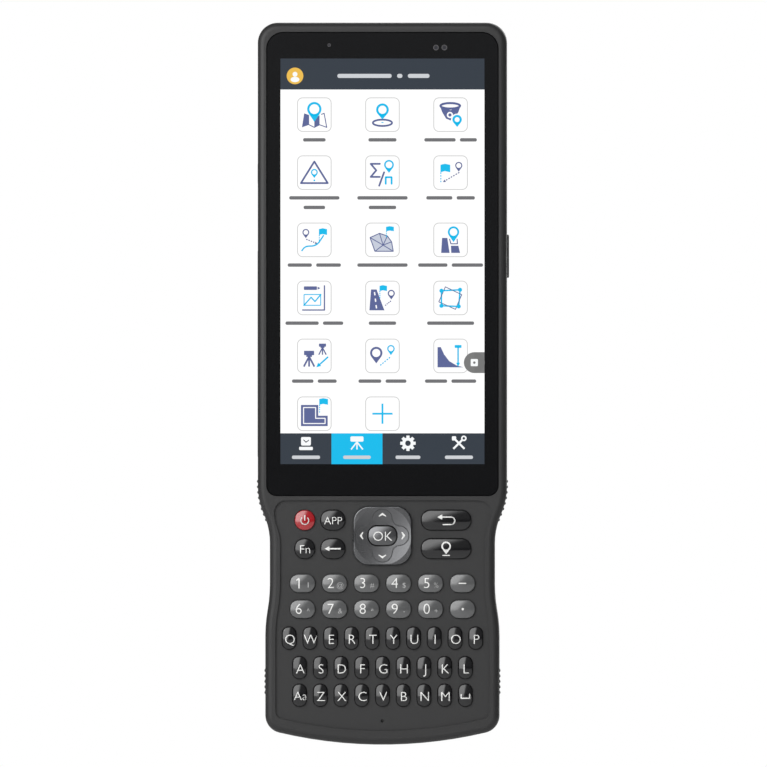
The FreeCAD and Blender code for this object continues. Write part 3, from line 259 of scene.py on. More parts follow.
def moulded_surface():
    """Fine moulded grain with slow changes of tone and sheen, as on textured plastic and rubber."""
    tree, given, result = group_of(
        "Moulded surface",
        {"Colour": (COLOUR, (0.05, 0.05, 0.05, 1.0)), "Tone change": (VALUE, 0.1),
         "Grain scale": (VALUE, 2400.0), "Roughness": (VALUE, 0.55), "Roughness change": (VALUE, 0.1)},
        {"Colour": COLOUR, "Roughness": VALUE, "Height": VALUE})
    place = add(tree, "ShaderNodeTexCoord").outputs["Object"]
    grain = noise_of(tree, place, given.outputs["Grain scale"], 3.0, 0.6)
    pores = add(tree, "ShaderNodeTexVoronoi", {"Vector": place, "Scale": given.outputs["Grain scale"]})
    handling = noise_of(tree, place, 45.0, 4.0, 0.55)
    slow = noise_of(tree, place, 14.0, 2.0)
    tone = sum_of(tree, "ADD", sum_of(tree, "MULTIPLY", slow, 0.65), sum_of(tree, "MULTIPLY", grain, 0.35))
    change = sum_of(tree, "MULTIPLY", sum_of(tree, "SUBTRACT", tone, 0.5), given.outputs["Tone change"])
    bright = sum_of(tree, "ADD", 1.0, sum_of(tree, "MULTIPLY", change, 2.0))
    shade = add(tree, "ShaderNodeVectorMath", {0: given.outputs["Colour"], 3: bright}, operation="SCALE")
    swing = sum_of(tree, "MULTIPLY", sum_of(tree, "SUBTRACT", handling, 0.5),
                   given.outputs["Roughness change"])
    tree.links.new(shade.outputs[0], result.inputs["Colour"])
    tree.links.new(sum_of(tree, "ADD", given.outputs["Roughness"], swing), result.inputs["Roughness"])
    height = sum_of(tree, "ADD", sum_of(tree, "MULTIPLY", grain, 0.6),
                    sum_of(tree, "MULTIPLY", pores.outputs["Distance"], 0.4))
    tree.links.new(height, result.inputs["Height"])
    return tree


def polished_surface():
    """Gloss with faint smears and hairlines that only change the sheen, as on caps, glass and lacquer."""
    tree, given, result = group_of(
        "Polished surface",
        {"Colour": (COLOUR, (0.01, 0.01, 0.01, 1.0)), "Tone change": (VALUE, 0.05),
         "Roughness": (VALUE, 0.1), "Smears": (VALUE, 0.05)},
        {"Colour": COLOUR, "Roughness": VALUE, "Height": VALUE})
    place = add(tree, "ShaderNodeTexCoord").outputs["Object"]
    smear = noise_of(tree, place, 70.0, 5.0, 0.6)
    stretched = add(tree, "ShaderNodeMapping", {"Vector": place, "Rotation": (0.0, 0.6, 0.0),
                                                "Scale": (60.0, 60.0, 2200.0)})
    hairline = noise_of(tree, stretched.outputs[0], 1.0, 1.0)
    worn = ramp_of(tree, hairline, 0.62, 0.78)
    smeared = ramp_of(tree, smear, 0.42, 0.7)
    sheen = sum_of(tree, "ADD", smeared, sum_of(tree, "MULTIPLY", worn, 0.35))
    rough = sum_of(tree, "ADD", given.outputs["Roughness"],
                   sum_of(tree, "MULTIPLY", sheen, given.outputs["Smears"]))
    bright = sum_of(tree, "ADD", 1.0, sum_of(tree, "MULTIPLY", sum_of(tree, "SUBTRACT", smear, 0.5),
                                             given.outputs["Tone change"]))
    shade = add(tree, "ShaderNodeVectorMath", {0: given.outputs["Colour"], 3: bright}, operation="SCALE")
    tree.links.new(shade.outputs[0], result.inputs["Colour"])
    tree.links.new(rough, result.inputs["Roughness"])
    tree.links.new(smear, result.inputs["Height"])
    return tree


def lit_surface():
    """Light of a display panel: slightly uneven, with its fine rows of points."""
    tree, given, result = group_of(
        "Lit surface", {"Colour": (COLOUR, (1.0, 1.0, 1.0, 1.0)), "Unevenness": (VALUE, 0.02)},
        {"Colour": COLOUR})
    place = add(tree, "ShaderNodeTexCoord").outputs["Object"]
    slow = noise_of(tree, place, 12.0, 1.0)
    rows = add(tree, "ShaderNodeTexWave", {"Vector": place, "Scale": 3600.0}, bands_direction="Z")
    uneven = sum_of(tree, "ADD", slow, sum_of(tree, "MULTIPLY", rows.outputs["Fac"], 0.5))
    dim = sum_of(tree, "MULTIPLY", uneven, given.outputs["Unevenness"])
    shade = add(tree, "ShaderNodeVectorMath", {0: given.outputs["Colour"],
                                               3: sum_of(tree, "SUBTRACT", 1.0, dim)}, operation="SCALE")
    tree.links.new(shade.outputs[0], result.inputs["Colour"])
    return tree


GROUPS = {
    "Moulded surface": moulded_surface,
    "Polished surface": polished_surface,
    "Lit surface": lit_surface,
}


def shared(name):
    """The named node group, built the first time it is asked for."""
    return bpy.data.node_groups.get(name) or GROUPS[name]()


def opaque(rgb):
    return (*rgb, 1.0)


def started(name):
    """A new material with only its main shader and output."""
    material = bpy.data.materials.new(name)
    material.use_nodes = True
    tree = material.node_tree
    tree.nodes.clear()
    shader = tree.nodes.new("ShaderNodeBsdfPrincipled")
    output = tree.nodes.new("ShaderNodeOutputMaterial")
    tree.links.new(shader.outputs[0], output.inputs["Surface"])
    return material, tree, shader


SHADER_INPUTS = {
    "coat_weight": "Coat Weight",
    "metallic": "Metallic",
    "specular_ior_level": "Specular IOR Level",
}


def finish_of(name, surface, colour_value, bump=0.0, values=None, **constants):
    """A material from a shared surface, with values for the group and constants for the shader."""
    material, tree, shader = started(name)
    group = add(tree, "ShaderNodeGroup", node_tree=shared(surface))
    group.inputs["Colour"].default_value = opaque(colour_value)
    for label, setting in (values or {}).items():
        group.inputs[label].default_value = setting
    tree.links.new(group.outputs["Colour"], shader.inputs["Base Color"])
    tree.links.new(group.outputs["Roughness"], shader.inputs["Roughness"])
    for label, setting in constants.items():
        shader.inputs[SHADER_INPUTS[label]].default_value = setting
    if bump:
        relief = add(tree, "ShaderNodeBump", {"Height": group.outputs["Height"], "Strength": bump,
                                              "Distance": 0.05 * MM})
        tree.links.new(relief.outputs[0], shader.inputs["Normal"])
    return material


def lit_finish(name, colour_value, brightness):
    """A lit part of the display: its colour is given off, under a reflecting front."""
    material, tree, shader = started(name)
    group = add(tree, "ShaderNodeGroup", node_tree=shared("Lit surface"))
    group.inputs["Colour"].default_value = opaque(colour_value)
    tree.links.new(group.outputs["Colour"], shader.inputs["Emission Color"])
    dark = add(tree, "ShaderNodeVectorMath", {0: group.outputs["Colour"], 3: 0.02}, operation="SCALE")
    tree.links.new(dark.outputs[0], shader.inputs["Base Color"])
    shader.inputs["Emission Strength"].default_value = brightness
    shader.inputs["Roughness"].default_value = 0.3
    shader.inputs["Specular IOR Level"].default_value = 0.1
    return material


def board_finish():
    """Green board with steel domes in front of it and dark parts behind it."""
    material, tree, shader = started("circuit_board")
    group = add(tree, "ShaderNodeGroup", node_tree=shared("Moulded surface"))
    place = add(tree, "ShaderNodeTexCoord").outputs["Object"]
    depth = add(tree, "ShaderNodeSeparateXYZ", {0: place}).outputs["Y"]
    board_front, board_back, slack = -11.5 * MM, -10.7 * MM, 0.02 * MM
    domes = ramp_of(tree, depth, board_front, board_front - slack, smooth=False)
    parts = ramp_of(tree, depth, board_back, board_back + slack, smooth=False)
    base = mix_of(tree, domes, (0.008, 0.07, 0.035, 1.0), (0.5, 0.5, 0.5, 1.0))
    base = mix_of(tree, parts, base, (0.015, 0.015, 0.017, 1.0))
    tree.links.new(base, group.inputs["Colour"])
    group.inputs["Roughness"].default_value = 0.3
    tree.links.new(group.outputs["Colour"], shader.inputs["Base Color"])
    tree.links.new(group.outputs["Roughness"], shader.inputs["Roughness"])
    tree.links.new(domes, shader.inputs["Metallic"])
    return material


def brushed_finish(name, colour_value):
    """Blackened steel with round tool marks."""
    material, tree, shader = started(name)
    group = add(tree, "ShaderNodeGroup", node_tree=shared("Polished surface"))
    group.inputs["Colour"].default_value = opaque(colour_value)
    group.inputs["Roughness"].default_value = 0.32
    group.inputs["Smears"].default_value = 0.2
    tree.links.new(group.outputs["Colour"], shader.inputs["Base Color"])
    tree.links.new(group.outputs["Roughness"], shader.inputs["Roughness"])
    shader.inputs["Metallic"].default_value = 1.0
    return material


def part_finishes(look):
    """One material for each material slot of the record."""
    grain = {"Grain scale": 1.0 / look.grain}
    gloss = {"Roughness": look.key_roughness}
    return {
        "housing_plastic": finish_of("housing_plastic", "Moulded surface", look.housing, 0.35,
                                     {**grain, "Roughness": 0.5, "Tone change": 0.16},
                                     specular_ior_level=0.25),
        "black_keys": finish_of("black_keys", "Polished surface", look.letters, 0, gloss, coat_weight=0.12,
                                specular_ior_level=0.35),
        "grey_keys": finish_of("grey_keys", "Polished surface", look.digits, 0,
                               {"Roughness": look.key_roughness + 0.06}, coat_weight=0.2),
        "red_key": finish_of("red_key", "Polished surface", look.power, 0,
                             {"Roughness": look.key_roughness + 0.04}, coat_weight=0.3),
        "pad_metal_look": finish_of("pad_metal_look", "Polished surface", look.pad, 0.1,
                                    {"Roughness": 0.24, "Smears": 0.06}, metallic=0.85),
        "side_rubber": finish_of("side_rubber", "Moulded surface", look.side, 0.3,
                                 {**grain, "Roughness": 0.62}),
        "cover_glass": finish_of("cover_glass", "Polished surface", look.glass, 0,
                                 {"Roughness": 0.03, "Smears": 0.03}, specular_ior_level=0.3),
        "display_panel": finish_of("display_panel", "Polished surface", (0.02, 0.02, 0.022), 0,
                                   {"Roughness": 0.2}),
        "silicone": finish_of("silicone", "Moulded surface", (0.12, 0.12, 0.12), 0.2,
                              {"Roughness": 0.5}),
        "circuit_board": board_finish(),
        "battery_wrap": finish_of("battery_wrap", "Moulded surface", (0.018, 0.018, 0.02), 0.2,
                                  {"Grain scale": 900.0, "Roughness": 0.4}),
        "screw_steel": brushed_finish("screw_steel", (0.09, 0.09, 0.092)),
    }


# ---- pieces ----


def new_piece(name, mesh, materials, body, smooth=False):
    """Turn a finished bmesh into a piece that rides a body."""
    data = bpy.data.meshes.new(name)
    mesh.to_mesh(data)
    mesh.free()
    for material in materials:
        data.materials.append(material)
    if smooth:
        data.shade_smooth()
    piece = bpy.data.objects.new(name, data)
    bpy.context.scene.collection.objects.link(piece)
    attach(piece, body)
    return piece


def set_back(mesh, depth):
    """Move a flat mesh to a depth; the back of the instrument is at 0 and its front is negative."""
    bmesh.ops.translate(mesh, vec=(0.0, depth, 0.0), verts=mesh.verts)
    return mesh


def surface_tree(*names):
    """A search tree over the faces of CAD nodes."""
    mesh = bmesh.new()
    for name in names:
        mesh.from_mesh(NODES[name].data)
    tree = BVHTree.FromBMesh(mesh)
    mesh.free()
    return tree


THINNER_STROKES = -0.013


def shape_text(words):
    """A flat mesh of characters in the built-in typeface."""
    curve = bpy.data.curves.new("words", "FONT")
    curve.body = words
    curve.resolution_u = 4
    curve.offset = THINNER_STROKES
    holder = bpy.data.objects.new("words", curve)
    data = bpy.data.meshes.new_from_object(holder)
    bpy.data.objects.remove(holder)
    bpy.data.curves.remove(curve)
    return data


def add_text(mesh, words, x, y, height, tall=None):
    """Add characters centred on a point; the height is that of the tall sample."""
    data = shape_text(words)
    sample = shape_text(tall or words)
    rows = [vertex.co.y for vertex in sample.vertices]
    scale = height / (max(rows) - min(rows))
    columns = [vertex.co.x for vertex in data.vertices]
    own = [vertex.co.y for vertex in data.vertices]
    middle = Vector(((min(columns) + max(columns)) / 2, (min(own) + max(own)) / 2 if tall is None
                     else (min(rows) + max(rows)) / 2, 0.0))
    first = len(mesh.verts)
    mesh.from_mesh(data)
    mesh.verts.ensure_lookup_table()
    added = mesh.verts[first:]
    place = Matrix.Translation((x, y, 0.0)) @ Matrix.Scale(scale, 4) @ Matrix.Translation(-middle)
    bmesh.ops.transform(mesh, matrix=place, verts=added)
    bpy.data.meshes.remove(data)
    bpy.data.meshes.remove(sample)
    return added


class Drawing:
    """Flat shapes in millimetres, X right and Y up, each in one of a list of tones.

    Shapes with a higher level lie nearer the viewer.
    """

    def __init__(self, pen=1.0):
        self.mesh = bmesh.new()
        self.pen = pen

    def tone(self, verts, tone, level):
        for vertex in verts:
            vertex.co.z = level
        for face in {face for vertex in verts for face in vertex.link_faces}:
            face.material_index = tone

    def plate(self, tone, *points, level=0.0):
        verts = [self.mesh.verts.new((*point, 0.0)) for point in points]
        self.mesh.faces.new(verts)
        self.tone(verts, tone, level)

    def bar(self, tone, start, end, width, level=0.0):
        start, end = Vector(start), Vector(end)
        along = (end - start).normalized()
        across = Vector((-along.y, along.x)) * width * self.pen / 2
        self.plate(tone, start - across, end - across, end + across, start + across, level=level)

    def path(self, tone, points, width, level=0.0, closed=False):
        points = list(points)
        for start, end in zip(points, points[1:] + points[:1] if closed else points[1:]):
            self.bar(tone, start, end, width, level)
        for point in points:
            self.disc(tone, point, width * self.pen / 2, level, 10)

    def dashes(self, tone, start, end, width, number, level=0.0):
        start, end = Vector(start), Vector(end)
        for index in range(number):
            low, high = index / number, (index + 0.6) / number
            self.bar(tone, start.lerp(end, low), start.lerp(end, high), width, level)

    def disc(self, tone, middle, radius, level=0.0, segments=32, squeeze=1.0):
        made = bmesh.ops.create_circle(self.mesh, cap_ends=True, radius=radius, segments=segments)
        place = Matrix.Translation((*middle, 0.0)) @ Matrix.Diagonal((1.0, squeeze, 1.0, 1.0))
        bmesh.ops.transform(self.mesh, matrix=place, verts=made["verts"])
        self.tone(made["verts"], tone, level)

    def ring(self, tone, middle, outer, inner, level=0.0, squeeze=1.0, segments=32):
        made = bmesh.ops.create_circle(self.mesh, cap_ends=False, radius=outer, segments=segments)
        rim = list({edge for vertex in made["verts"] for edge in vertex.link_edges})
        grown = bmesh.ops.extrude_edge_only(self.mesh, edges=rim)["geom"]
        within = [item for item in grown if isinstance(item, bmesh.types.BMVert)]
        bmesh.ops.scale(self.mesh, vec=(inner / outer, inner / outer, 1.0), verts=within)
        place = Matrix.Translation((*middle, 0.0)) @ Matrix.Diagonal((1.0, squeeze, 1.0, 1.0))
        bmesh.ops.transform(self.mesh, matrix=place, verts=made["verts"] + within)
        self.tone(made["verts"] + within, tone, level)

    def box(self, tone, middle, width, height, corner, level=0.0):
        made = bmesh.ops.create_grid(self.mesh, x_segments=1, y_segments=1, size=0.5)
        place = Matrix.Translation((*middle, 0.0)) @ Matrix.Diagonal((width, height, 1.0, 1.0))
        bmesh.ops.transform(self.mesh, matrix=place, verts=made["verts"])
        face = made["verts"][0].link_faces[0]
        if corner:
            rounded = bmesh.ops.bevel(self.mesh, geom=made["verts"], offset=corner, segments=6, profile=0.5,
                                      affect="VERTICES", material=-1)
            face = max(rounded["faces"] + [item for vertex in rounded["verts"] for item in vertex.link_faces],
                       key=lambda item: item.calc_area())
        self.tone(face.verts, tone, level)
        return face

    def oval(self, tone, middle, radius, squeeze, width, level=0.0):
        points = [(middle[0] + radius * math.cos(turn), middle[1] + radius * squeeze * math.sin(turn))
                  for turn in (math.radians(step * 15) for step in range(24))]
        self.path(tone, points, width, level, True)

    def outline(self, tone, middle, width, height, corner, line, level=0.0):
        face = self.box(tone, middle, width, height, corner, level)
        bmesh.ops.inset_region(self.mesh, faces=[face], thickness=line, use_even_offset=True,
                               use_boundary=True)
        bmesh.ops.delete(self.mesh, geom=[face], context="FACES_ONLY")

    def pin(self, tone, middle, outer, inner, reach, level=0.0):
        x, y = middle
        self.ring(tone, middle, outer, inner, level)
        half, low = outer * 0.8, y - outer * 0.6
        self.plate(tone, (x - half, low), (x, y - reach), (x + half, low), (x, y - inner), level=level)

    def flag(self, tone, foot, height, width, level=0.0):
        x, y = foot
        top, low = y + height, y + height * 0.6
        self.plate(tone, (x, top), (x, low), (x + width * 0.45, low + height * 0.06), (x + width, low),
                   (x + width, top), (x + width * 0.45, top + height * 0.06), level=level)
        self.dashes(tone, (x + 0.12, low), (x + 0.12, y), 0.25, 4, level)

    def head(self, tone, tip, towards, size, level=0.0):
        """A solid arrow head."""
        tip, along = Vector(tip), Vector(towards).normalized()
        across = Vector((-along.y, along.x))
        back = tip - along * size
        self.plate(tone, tip, back + across * size * 0.5, back - across * size * 0.5, level=level)

    def words(self, tone, words, middle, height, level=0.0, tall=None):
        self.tone(add_text(self.mesh, words, *middle, height, tall), tone, level)

    def lines(self, tone, middle, lengths, height, gap, level=0.0):
        """Rounded strokes in a row, in place of words."""
        x = middle[0] - (sum(lengths) + gap * (len(lengths) - 1)) / 2
        for stroke in lengths:
            self.box(tone, (x + stroke / 2, middle[1]), stroke, height, height * 0.45, level)
            x += stroke + gap

    def facing(self):
        """The finished mesh in metres, upright in the XZ plane and facing -Y."""
        mesh = self.mesh
        mesh.normal_update()
        bmesh.ops.reverse_faces(mesh, faces=[face for face in mesh.faces if face.normal.z < 0])
        turn = Matrix.Rotation(math.pi / 2, 4, "X") @ Matrix.Scale(MM, 4)
        bmesh.ops.transform(mesh, matrix=turn, verts=mesh.verts)
        return mesh


AHEAD = 10.0


def drape(mesh, tree, x, z, step, lift):
    """Cut a flat mesh finely, move it to a place and lay it on the surface behind it, facing -Y."""
    for axis in (0, 2):
        reach = [vertex.co[axis] for vertex in mesh.verts]
        normal = Vector((1.0, 0.0, 0.0)) if axis == 0 else Vector((0.0, 0.0, 1.0))
        cut = math.ceil(min(reach) / step) * step
        while cut < max(reach):
            bmesh.ops.bisect_plane(mesh, geom=mesh.verts[:] + mesh.edges[:] + mesh.faces[:], dist=step * 1e-4,
                                   plane_co=normal * cut, plane_no=normal)
            cut += step
    for vertex in mesh.verts:
        start = Vector((vertex.co.x + x, CAD_BOX[0][1] - AHEAD * MM, vertex.co.z + z))
        hit = tree.ray_cast(start, Vector((0.0, 1.0, 0.0)))[0]
        if hit is None:
            raise RuntimeError(f"a mark misses the surface under it at {start}")
        vertex.co = hit - Vector((0.0, lift, 0.0))
    mesh.normal_update()


# ---- key legends ----

DIGIT_SIGNS = {"1": None, "2": "@", "3": "#", "4": "$", "5": "%",
               "6": "^", "7": "&", "8": "*", "9": "-", "0": "+"}
PLAIN, FAINT = 0, 1


def power_sign(drawing):
    ring, line, gap = 1.2, 0.3, 5
    points = [(ring * math.sin(turn), ring * math.cos(turn) - 0.1)
              for turn in (math.radians(step * 10) for step in range(gap, 37 - gap))]
    drawing.path(PLAIN, points, line)
    drawing.path(PLAIN, ((0.0, 1.45), (0.0, 0.0)), line)


def erase_sign(drawing):
    drawing.bar(PLAIN, (2.4, 0.0), (-1.3, 0.0), 0.42)
    drawing.head(PLAIN, (-2.5, 0.0), (-1.0, 0.0), 1.45)


def return_sign(drawing):
    """An arrow that turns back to the left."""
    points = [(-1.4, 0.95), (1.5, 0.95)]
    points += [(1.5 + 1.15 * math.sin(turn), -0.2 + 1.15 * math.cos(turn))
               for turn in (math.radians(step * 15) for step in range(1, 12))]
    points += [(1.5, -1.35), (-0.9, -1.35)]
    drawing.path(PLAIN, points, 0.36)
    drawing.head(PLAIN, (-2.75, 0.95), (-1.0, 0.0), 1.55)


def locate_sign(drawing):
    """A map pin over a short base line."""
    drawing.ring(PLAIN, (0.0, 0.75), 1.45, 1.0)
    drawing.plate(PLAIN, (-1.05, -0.25), (0.0, -1.7), (1.05, -0.25),
                  (0.45, -0.3), (0.0, -0.25), (-0.45, -0.3))
    drawing.bar(PLAIN, (-1.15, -2.05), (1.15, -2.05), 0.28)


def space_sign(drawing):
    drawing.path(PLAIN, ((-1.3, 0.25), (-1.3, -0.9), (1.3, -0.9), (1.3, 0.25)), 0.36)


SIGNS = {"power": power_sign, "erase": erase_sign, "return": return_sign, "locate": locate_sign,
         "space": space_sign}
WORDS = {"app": ("APP", 2.2), "fn": ("Fn", 2.5), "ok": ("OK", 2.75), "shift": ("Aa", 2.5)}


def draw_legend(drawing, name, marks):
    """Draw what stands on one key, about the key's middle."""
    digit, letter = marks.digit_height / MM, marks.letter_height / MM
    if name in SIGNS:
        SIGNS[name](drawing)
    elif name in WORDS:
        words, height = WORDS[name]
        drawing.words(PLAIN, words, (0.3 if name == "shift" else 0.1, -0.15), height, tall="A")
    elif name == "minus":
        drawing.bar(PLAIN, (-1.15, 0.0), (1.15, 0.0), 0.34)
    elif name == "point":
        drawing.disc(PLAIN, (0.1, 0.0), 0.36)
    elif name in DIGIT_SIGNS:
        if name == "1":
            drawing.path(PLAIN, ((-1.75, 1.0), (-1.05, 1.5), (-1.05, -1.4)), 0.36)
            drawing.bar(FAINT, (1.75, 0.3), (1.75, -1.3), 0.22)
        else:
            drawing.words(PLAIN, name, (-1.15, 0.1), digit, tall="0")
            drawing.words(FAINT, DIGIT_SIGNS[name], (1.75, -0.55), 1.5, tall="A")
    else:
        drawing.words(PLAIN, name.upper(), (0.25, -0.35), letter, tall="H")


def pad_marks(drawing):
    """Four notched arrow heads that point outwards."""
    reach, half, depth, line = 7.0, 1.1, 0.9, 0.36
    for across, up in ((1, 0), (-1, 0), (0, 1), (0, -1)):
        along, side = Vector((across, up)), Vector((-up, across))
        tip = along * reach
        wing = tip - along * depth
        drawing.plate(PLAIN, tip, wing + side * half, wing + side * half - along * line * 0.8,
                      tip - along * line * 1.9, wing - side * half - along * line * 0.8, wing - side * half)


# ---- the picture on the display ----

PAGE, BAR, ACCENT, SLATE, LINE, TEXT, PALE, SUN, BUTTON, MIST, DIM = range(11)


# Each sign is drawn about the middle of its tile.


def sign_map(d):
    d.plate(SLATE, (-3.8, -3.9), (-3.1, 0.4), (-1.6, -0.1), (-1.6, -3.1))
    d.plate(SLATE, (0.0, -3.9), (0.0, -1.0), (1.6, -0.2), (1.6, -3.1))
    d.path(SLATE, ((-1.6, -3.1), (0.0, -3.9), (1.6, -3.1), (3.8, -3.9), (3.0, 0.4), (2.2, 0.1)), 0.22)
    d.pin(ACCENT, (0.0, 1.7), 2.2, 1.5, 3.9, 0.002)


def sign_survey(d):
    d.pin(ACCENT, (0.0, 1.5), 1.95, 1.25, 3.0)
    d.oval(SLATE, (0.0, -2.5), 2.95, 0.33, 0.42)
    d.disc(ACCENT, (0.0, -2.4), 0.4, 0.002, 12, 0.4)


def sign_dome(d):
    d.oval(SLATE, (-0.1, 2.7), 3.0, 0.28, 0.5)
    d.plate(SLATE, (-3.1, 2.2), (-2.6, 0.8), (-1.4, -1.2), (0.0, -1.8),
            (1.2, -1.2), (2.4, 0.8), (2.9, 2.2), (0.0, 1.4))
    d.ring(PAGE, (-0.2, -0.1), 0.95, 0.5, 0.002)
    d.disc(PAGE, (2.0, -1.6), 1.9, 0.003)
    d.pin(ACCENT, (2.0, -1.5), 1.45, 0.75, 2.3, 0.005)


def sign_triangle(d):
    d.path(SLATE, ((0.0, 3.4), (-4.1, -3.2), (4.1, -3.2)), 0.42, closed=True)
    d.pin(ACCENT, (0.0, 0.1), 1.05, 0.65, 1.75)
    d.disc(ACCENT, (0.0, -2.35), 0.28, segments=12)


def sign_mean(d):
    d.path(SLATE, ((-0.8, 2.7), (-3.6, 2.7), (-1.9, 0.7), (-3.6, -1.3), (-0.8, -1.3)), 0.42)
    d.path(SLATE, ((0.5, 0.1), (-1.0, -4.0)), 0.42)
    d.pin(ACCENT, (2.0, 2.4), 1.5, 1.0, 2.5)
    d.path(ACCENT, ((1.0, -3.4), (1.0, -1.4), (2.8, -1.4), (2.8, -3.4)), 0.42)


def sign_stake(d):
    d.flag(ACCENT, (-3.1, -3.3), 5.7, 3.0)
    d.pin(SLATE, (2.5, 2.2), 1.1, 0.75, 1.9)
    d.dashes(SLATE, (2.7, 0.1), (-1.7, -2.5), 0.26, 6)
    d.head(SLATE, (-2.4, -2.9), (-1.0, -0.55), 0.9)


def sign_line(d):
    d.pin(SLATE, (-2.6, 2.3), 1.05, 0.7, 1.8)
    d.dashes(SLATE, (-2.5, 0.2), (0.3, -0.9), 0.26, 4)
    d.head(SLATE, (1.0, -1.2), (1.0, -0.4), 0.8)
    d.flag(ACCENT, (1.4, -1.2), 4.5, 2.5)
    d.path(ACCENT, [(-3.8 + 0.6 * step, -3.3 + height) for step, height in
                    enumerate((0.0, 0.8, 1.2, 1.35, 1.4, 1.4, 1.5, 1.7, 2.1, 2.8, 3.7, 4.6))], 0.32)


def sign_mesh(d):
    rim = [(-3.8, 0.7), (-0.9, 2.0), (1.5, 1.2), (2.8, -0.6), (3.3, -3.5), (-2.3, -3.5)]
    d.plate(MIST, *rim)
    d.path(SLATE, rim, 0.22, 0.001, True)
    for point in rim:
        d.path(SLATE, ((0.2, -1.6), point), 0.2, 0.001)
    d.flag(ACCENT, (1.1, 0.6), 3.4, 2.4, 0.002)


def sign_parcel(d):
    d.plate(SLATE, (-2.9, -4.0), (-2.6, 0.6), (-1.0, 0.6), (-0.3, -4.0))
    d.plate(SLATE, (0.2, -4.0), (0.1, -1.8), (2.4, -1.8), (2.9, -4.0))
    d.path(SLATE, ((-0.3, 0.2), (0.1, -1.2), (2.1, -1.2), (2.0, 0.2)), 0.24)
    d.pin(ACCENT, (0.9, 2.4), 1.75, 1.15, 3.1, 0.002)


def sign_frame(d):
    d.box(SLATE, (-1.2, 3.0), 4.0, 1.1, 0.2)
    d.head(SLATE, (1.9, 3.0), (1.0, 0.0), 0.9)
    d.path(SLATE, ((3.1, 3.7), (3.1, -3.7), (-3.6, -3.7)), 0.3)
    d.outline(ACCENT, (-0.6, -0.6), 5.4, 3.6, 0.3, 0.3)
    d.path(ACCENT, ((-3.2, -2.3), (-1.0, 0.2), (0.2, -1.1), (2.0, 1.1)), 0.3)


def sign_road(d):
    d.plate(SLATE, (-4.0, -3.8), (-3.5, 2.6), (-1.8, 2.6), (0.6, -3.8))
    for low in (-3.2, -1.2, 0.8):
        d.bar(PAGE, (-2.2 - low * 0.12, low), (-2.35 - low * 0.12, low + 1.0), 0.3, 0.002)
    d.flag(ACCENT, (-0.9, -0.3), 4.0, 2.3, 0.003)
    d.pin(SLATE, (2.7, 1.4), 1.1, 0.7, 1.9)
    d.dashes(SLATE, (2.6, -0.9), (0.6, -2.5), 0.26, 4)


def sign_calibrate(d):
    corners = [(-2.8, 2.2), (2.9, 2.5), (2.5, -2.6), (-2.8, -2.4)]
    d.path(ACCENT, corners, 0.34, closed=True)
    turned_sheet = ((-1.6, 3.4), (3.4, 1.0), (1.5, -3.5), (-3.6, -1.2))
    d.path(SLATE, turned_sheet, 0.2, closed=True)
    for corner in corners:
        d.disc(ACCENT, corner, 0.65, 0.002, 16)


def sign_base(d):
    for middle, top, size in ((-1.6, 0.9, 1.35), (2.5, 3.3, 0.95)):
        d.box(SLATE, (middle, top), 2.3 * size, 1.0 * size, 0.15)
        d.box(SLATE, (middle, top - 0.6 * size), 1.3 * size, 0.6 * size, 0.0)
        for foot in (-1.2, 0.0, 1.2):
            d.bar(SLATE, (middle, top - 0.8 * size), (middle + foot * size, top - 3.1 * size), 0.3 * size)
    d.path(ACCENT, ((4.1, -0.4), (1.2, -3.0)), 0.36)
    d.head(ACCENT, (0.6, -3.5), (-1.0, -0.9), 1.4)


def sign_shift(d):
    d.pin(SLATE, (-1.9, 0.9), 1.9, 1.25, 3.2)
    d.dashes(ACCENT, (-0.7, -2.9), (2.6, -0.2), 0.28, 5)
    d.pin(ACCENT, (2.6, 2.2), 1.15, 0.75, 2.0)


def sign_slope(d):
    d.plate(SLATE, (-4.0, 2.7), (-4.0, -3.5), (4.0, -3.5), (1.8, -2.9),
            (-0.4, -1.6), (-2.0, 0.5), (-3.0, 2.7))
    d.path(ACCENT, ((2.3, 2.4), (2.3, -2.9)), 0.34, 0.002)
    d.head(ACCENT, (2.3, -3.3), (0.0, -1.0), 1.2, 0.002)
    d.box(ACCENT, (2.3, 2.9), 2.1, 0.9, 0.2, 0.002)


def sign_plot(d):
    d.plate(SLATE, (-4.1, 2.7), (-4.1, -3.8), (4.1, -3.8), (4.1, -0.6), (1.2, -0.6), (1.2, 2.7))
    d.path(PAGE, ((-3.3, 1.9), (-3.3, -3.0), (3.3, -3.0), (3.3, -1.4),
                  (0.4, -1.4), (0.4, 1.9)), 0.22, 0.002, True)
    d.flag(ACCENT, (1.5, 0.1), 4.4, 2.7, 0.003)


def sign_plus(d):
    d.bar(ACCENT, (-3.1, 0.0), (3.1, 0.0), 0.42)
    d.bar(ACCENT, (0.0, -3.1), (0.0, 3.1), 0.42, 0.001)


SIGN_ROWS = [
    (21.76, (sign_map, sign_survey, sign_dome), ((6.9,), (8.6,), (9.6, 5.2))),
    (3.99, (sign_triangle, sign_mean, sign_stake), ((15.4,), (15.4,), (8.0, 5.6))),
    (-16.6, (sign_line, sign_mesh, sign_parcel), ((7.4, 7.6), (15.4,), (9.0, 9.6))),
    (-34.39, (sign_frame, sign_road, sign_calibrate), ((10.2, 6.2), (8.4,), (14.4,))),
    (-52.15, (sign_base, sign_shift, sign_slope), ((6.6, 5.8), (7.0, 6.4), (6.8, 7.6))),
    (-69.86, (sign_plot, sign_plus), ((), ())),
]
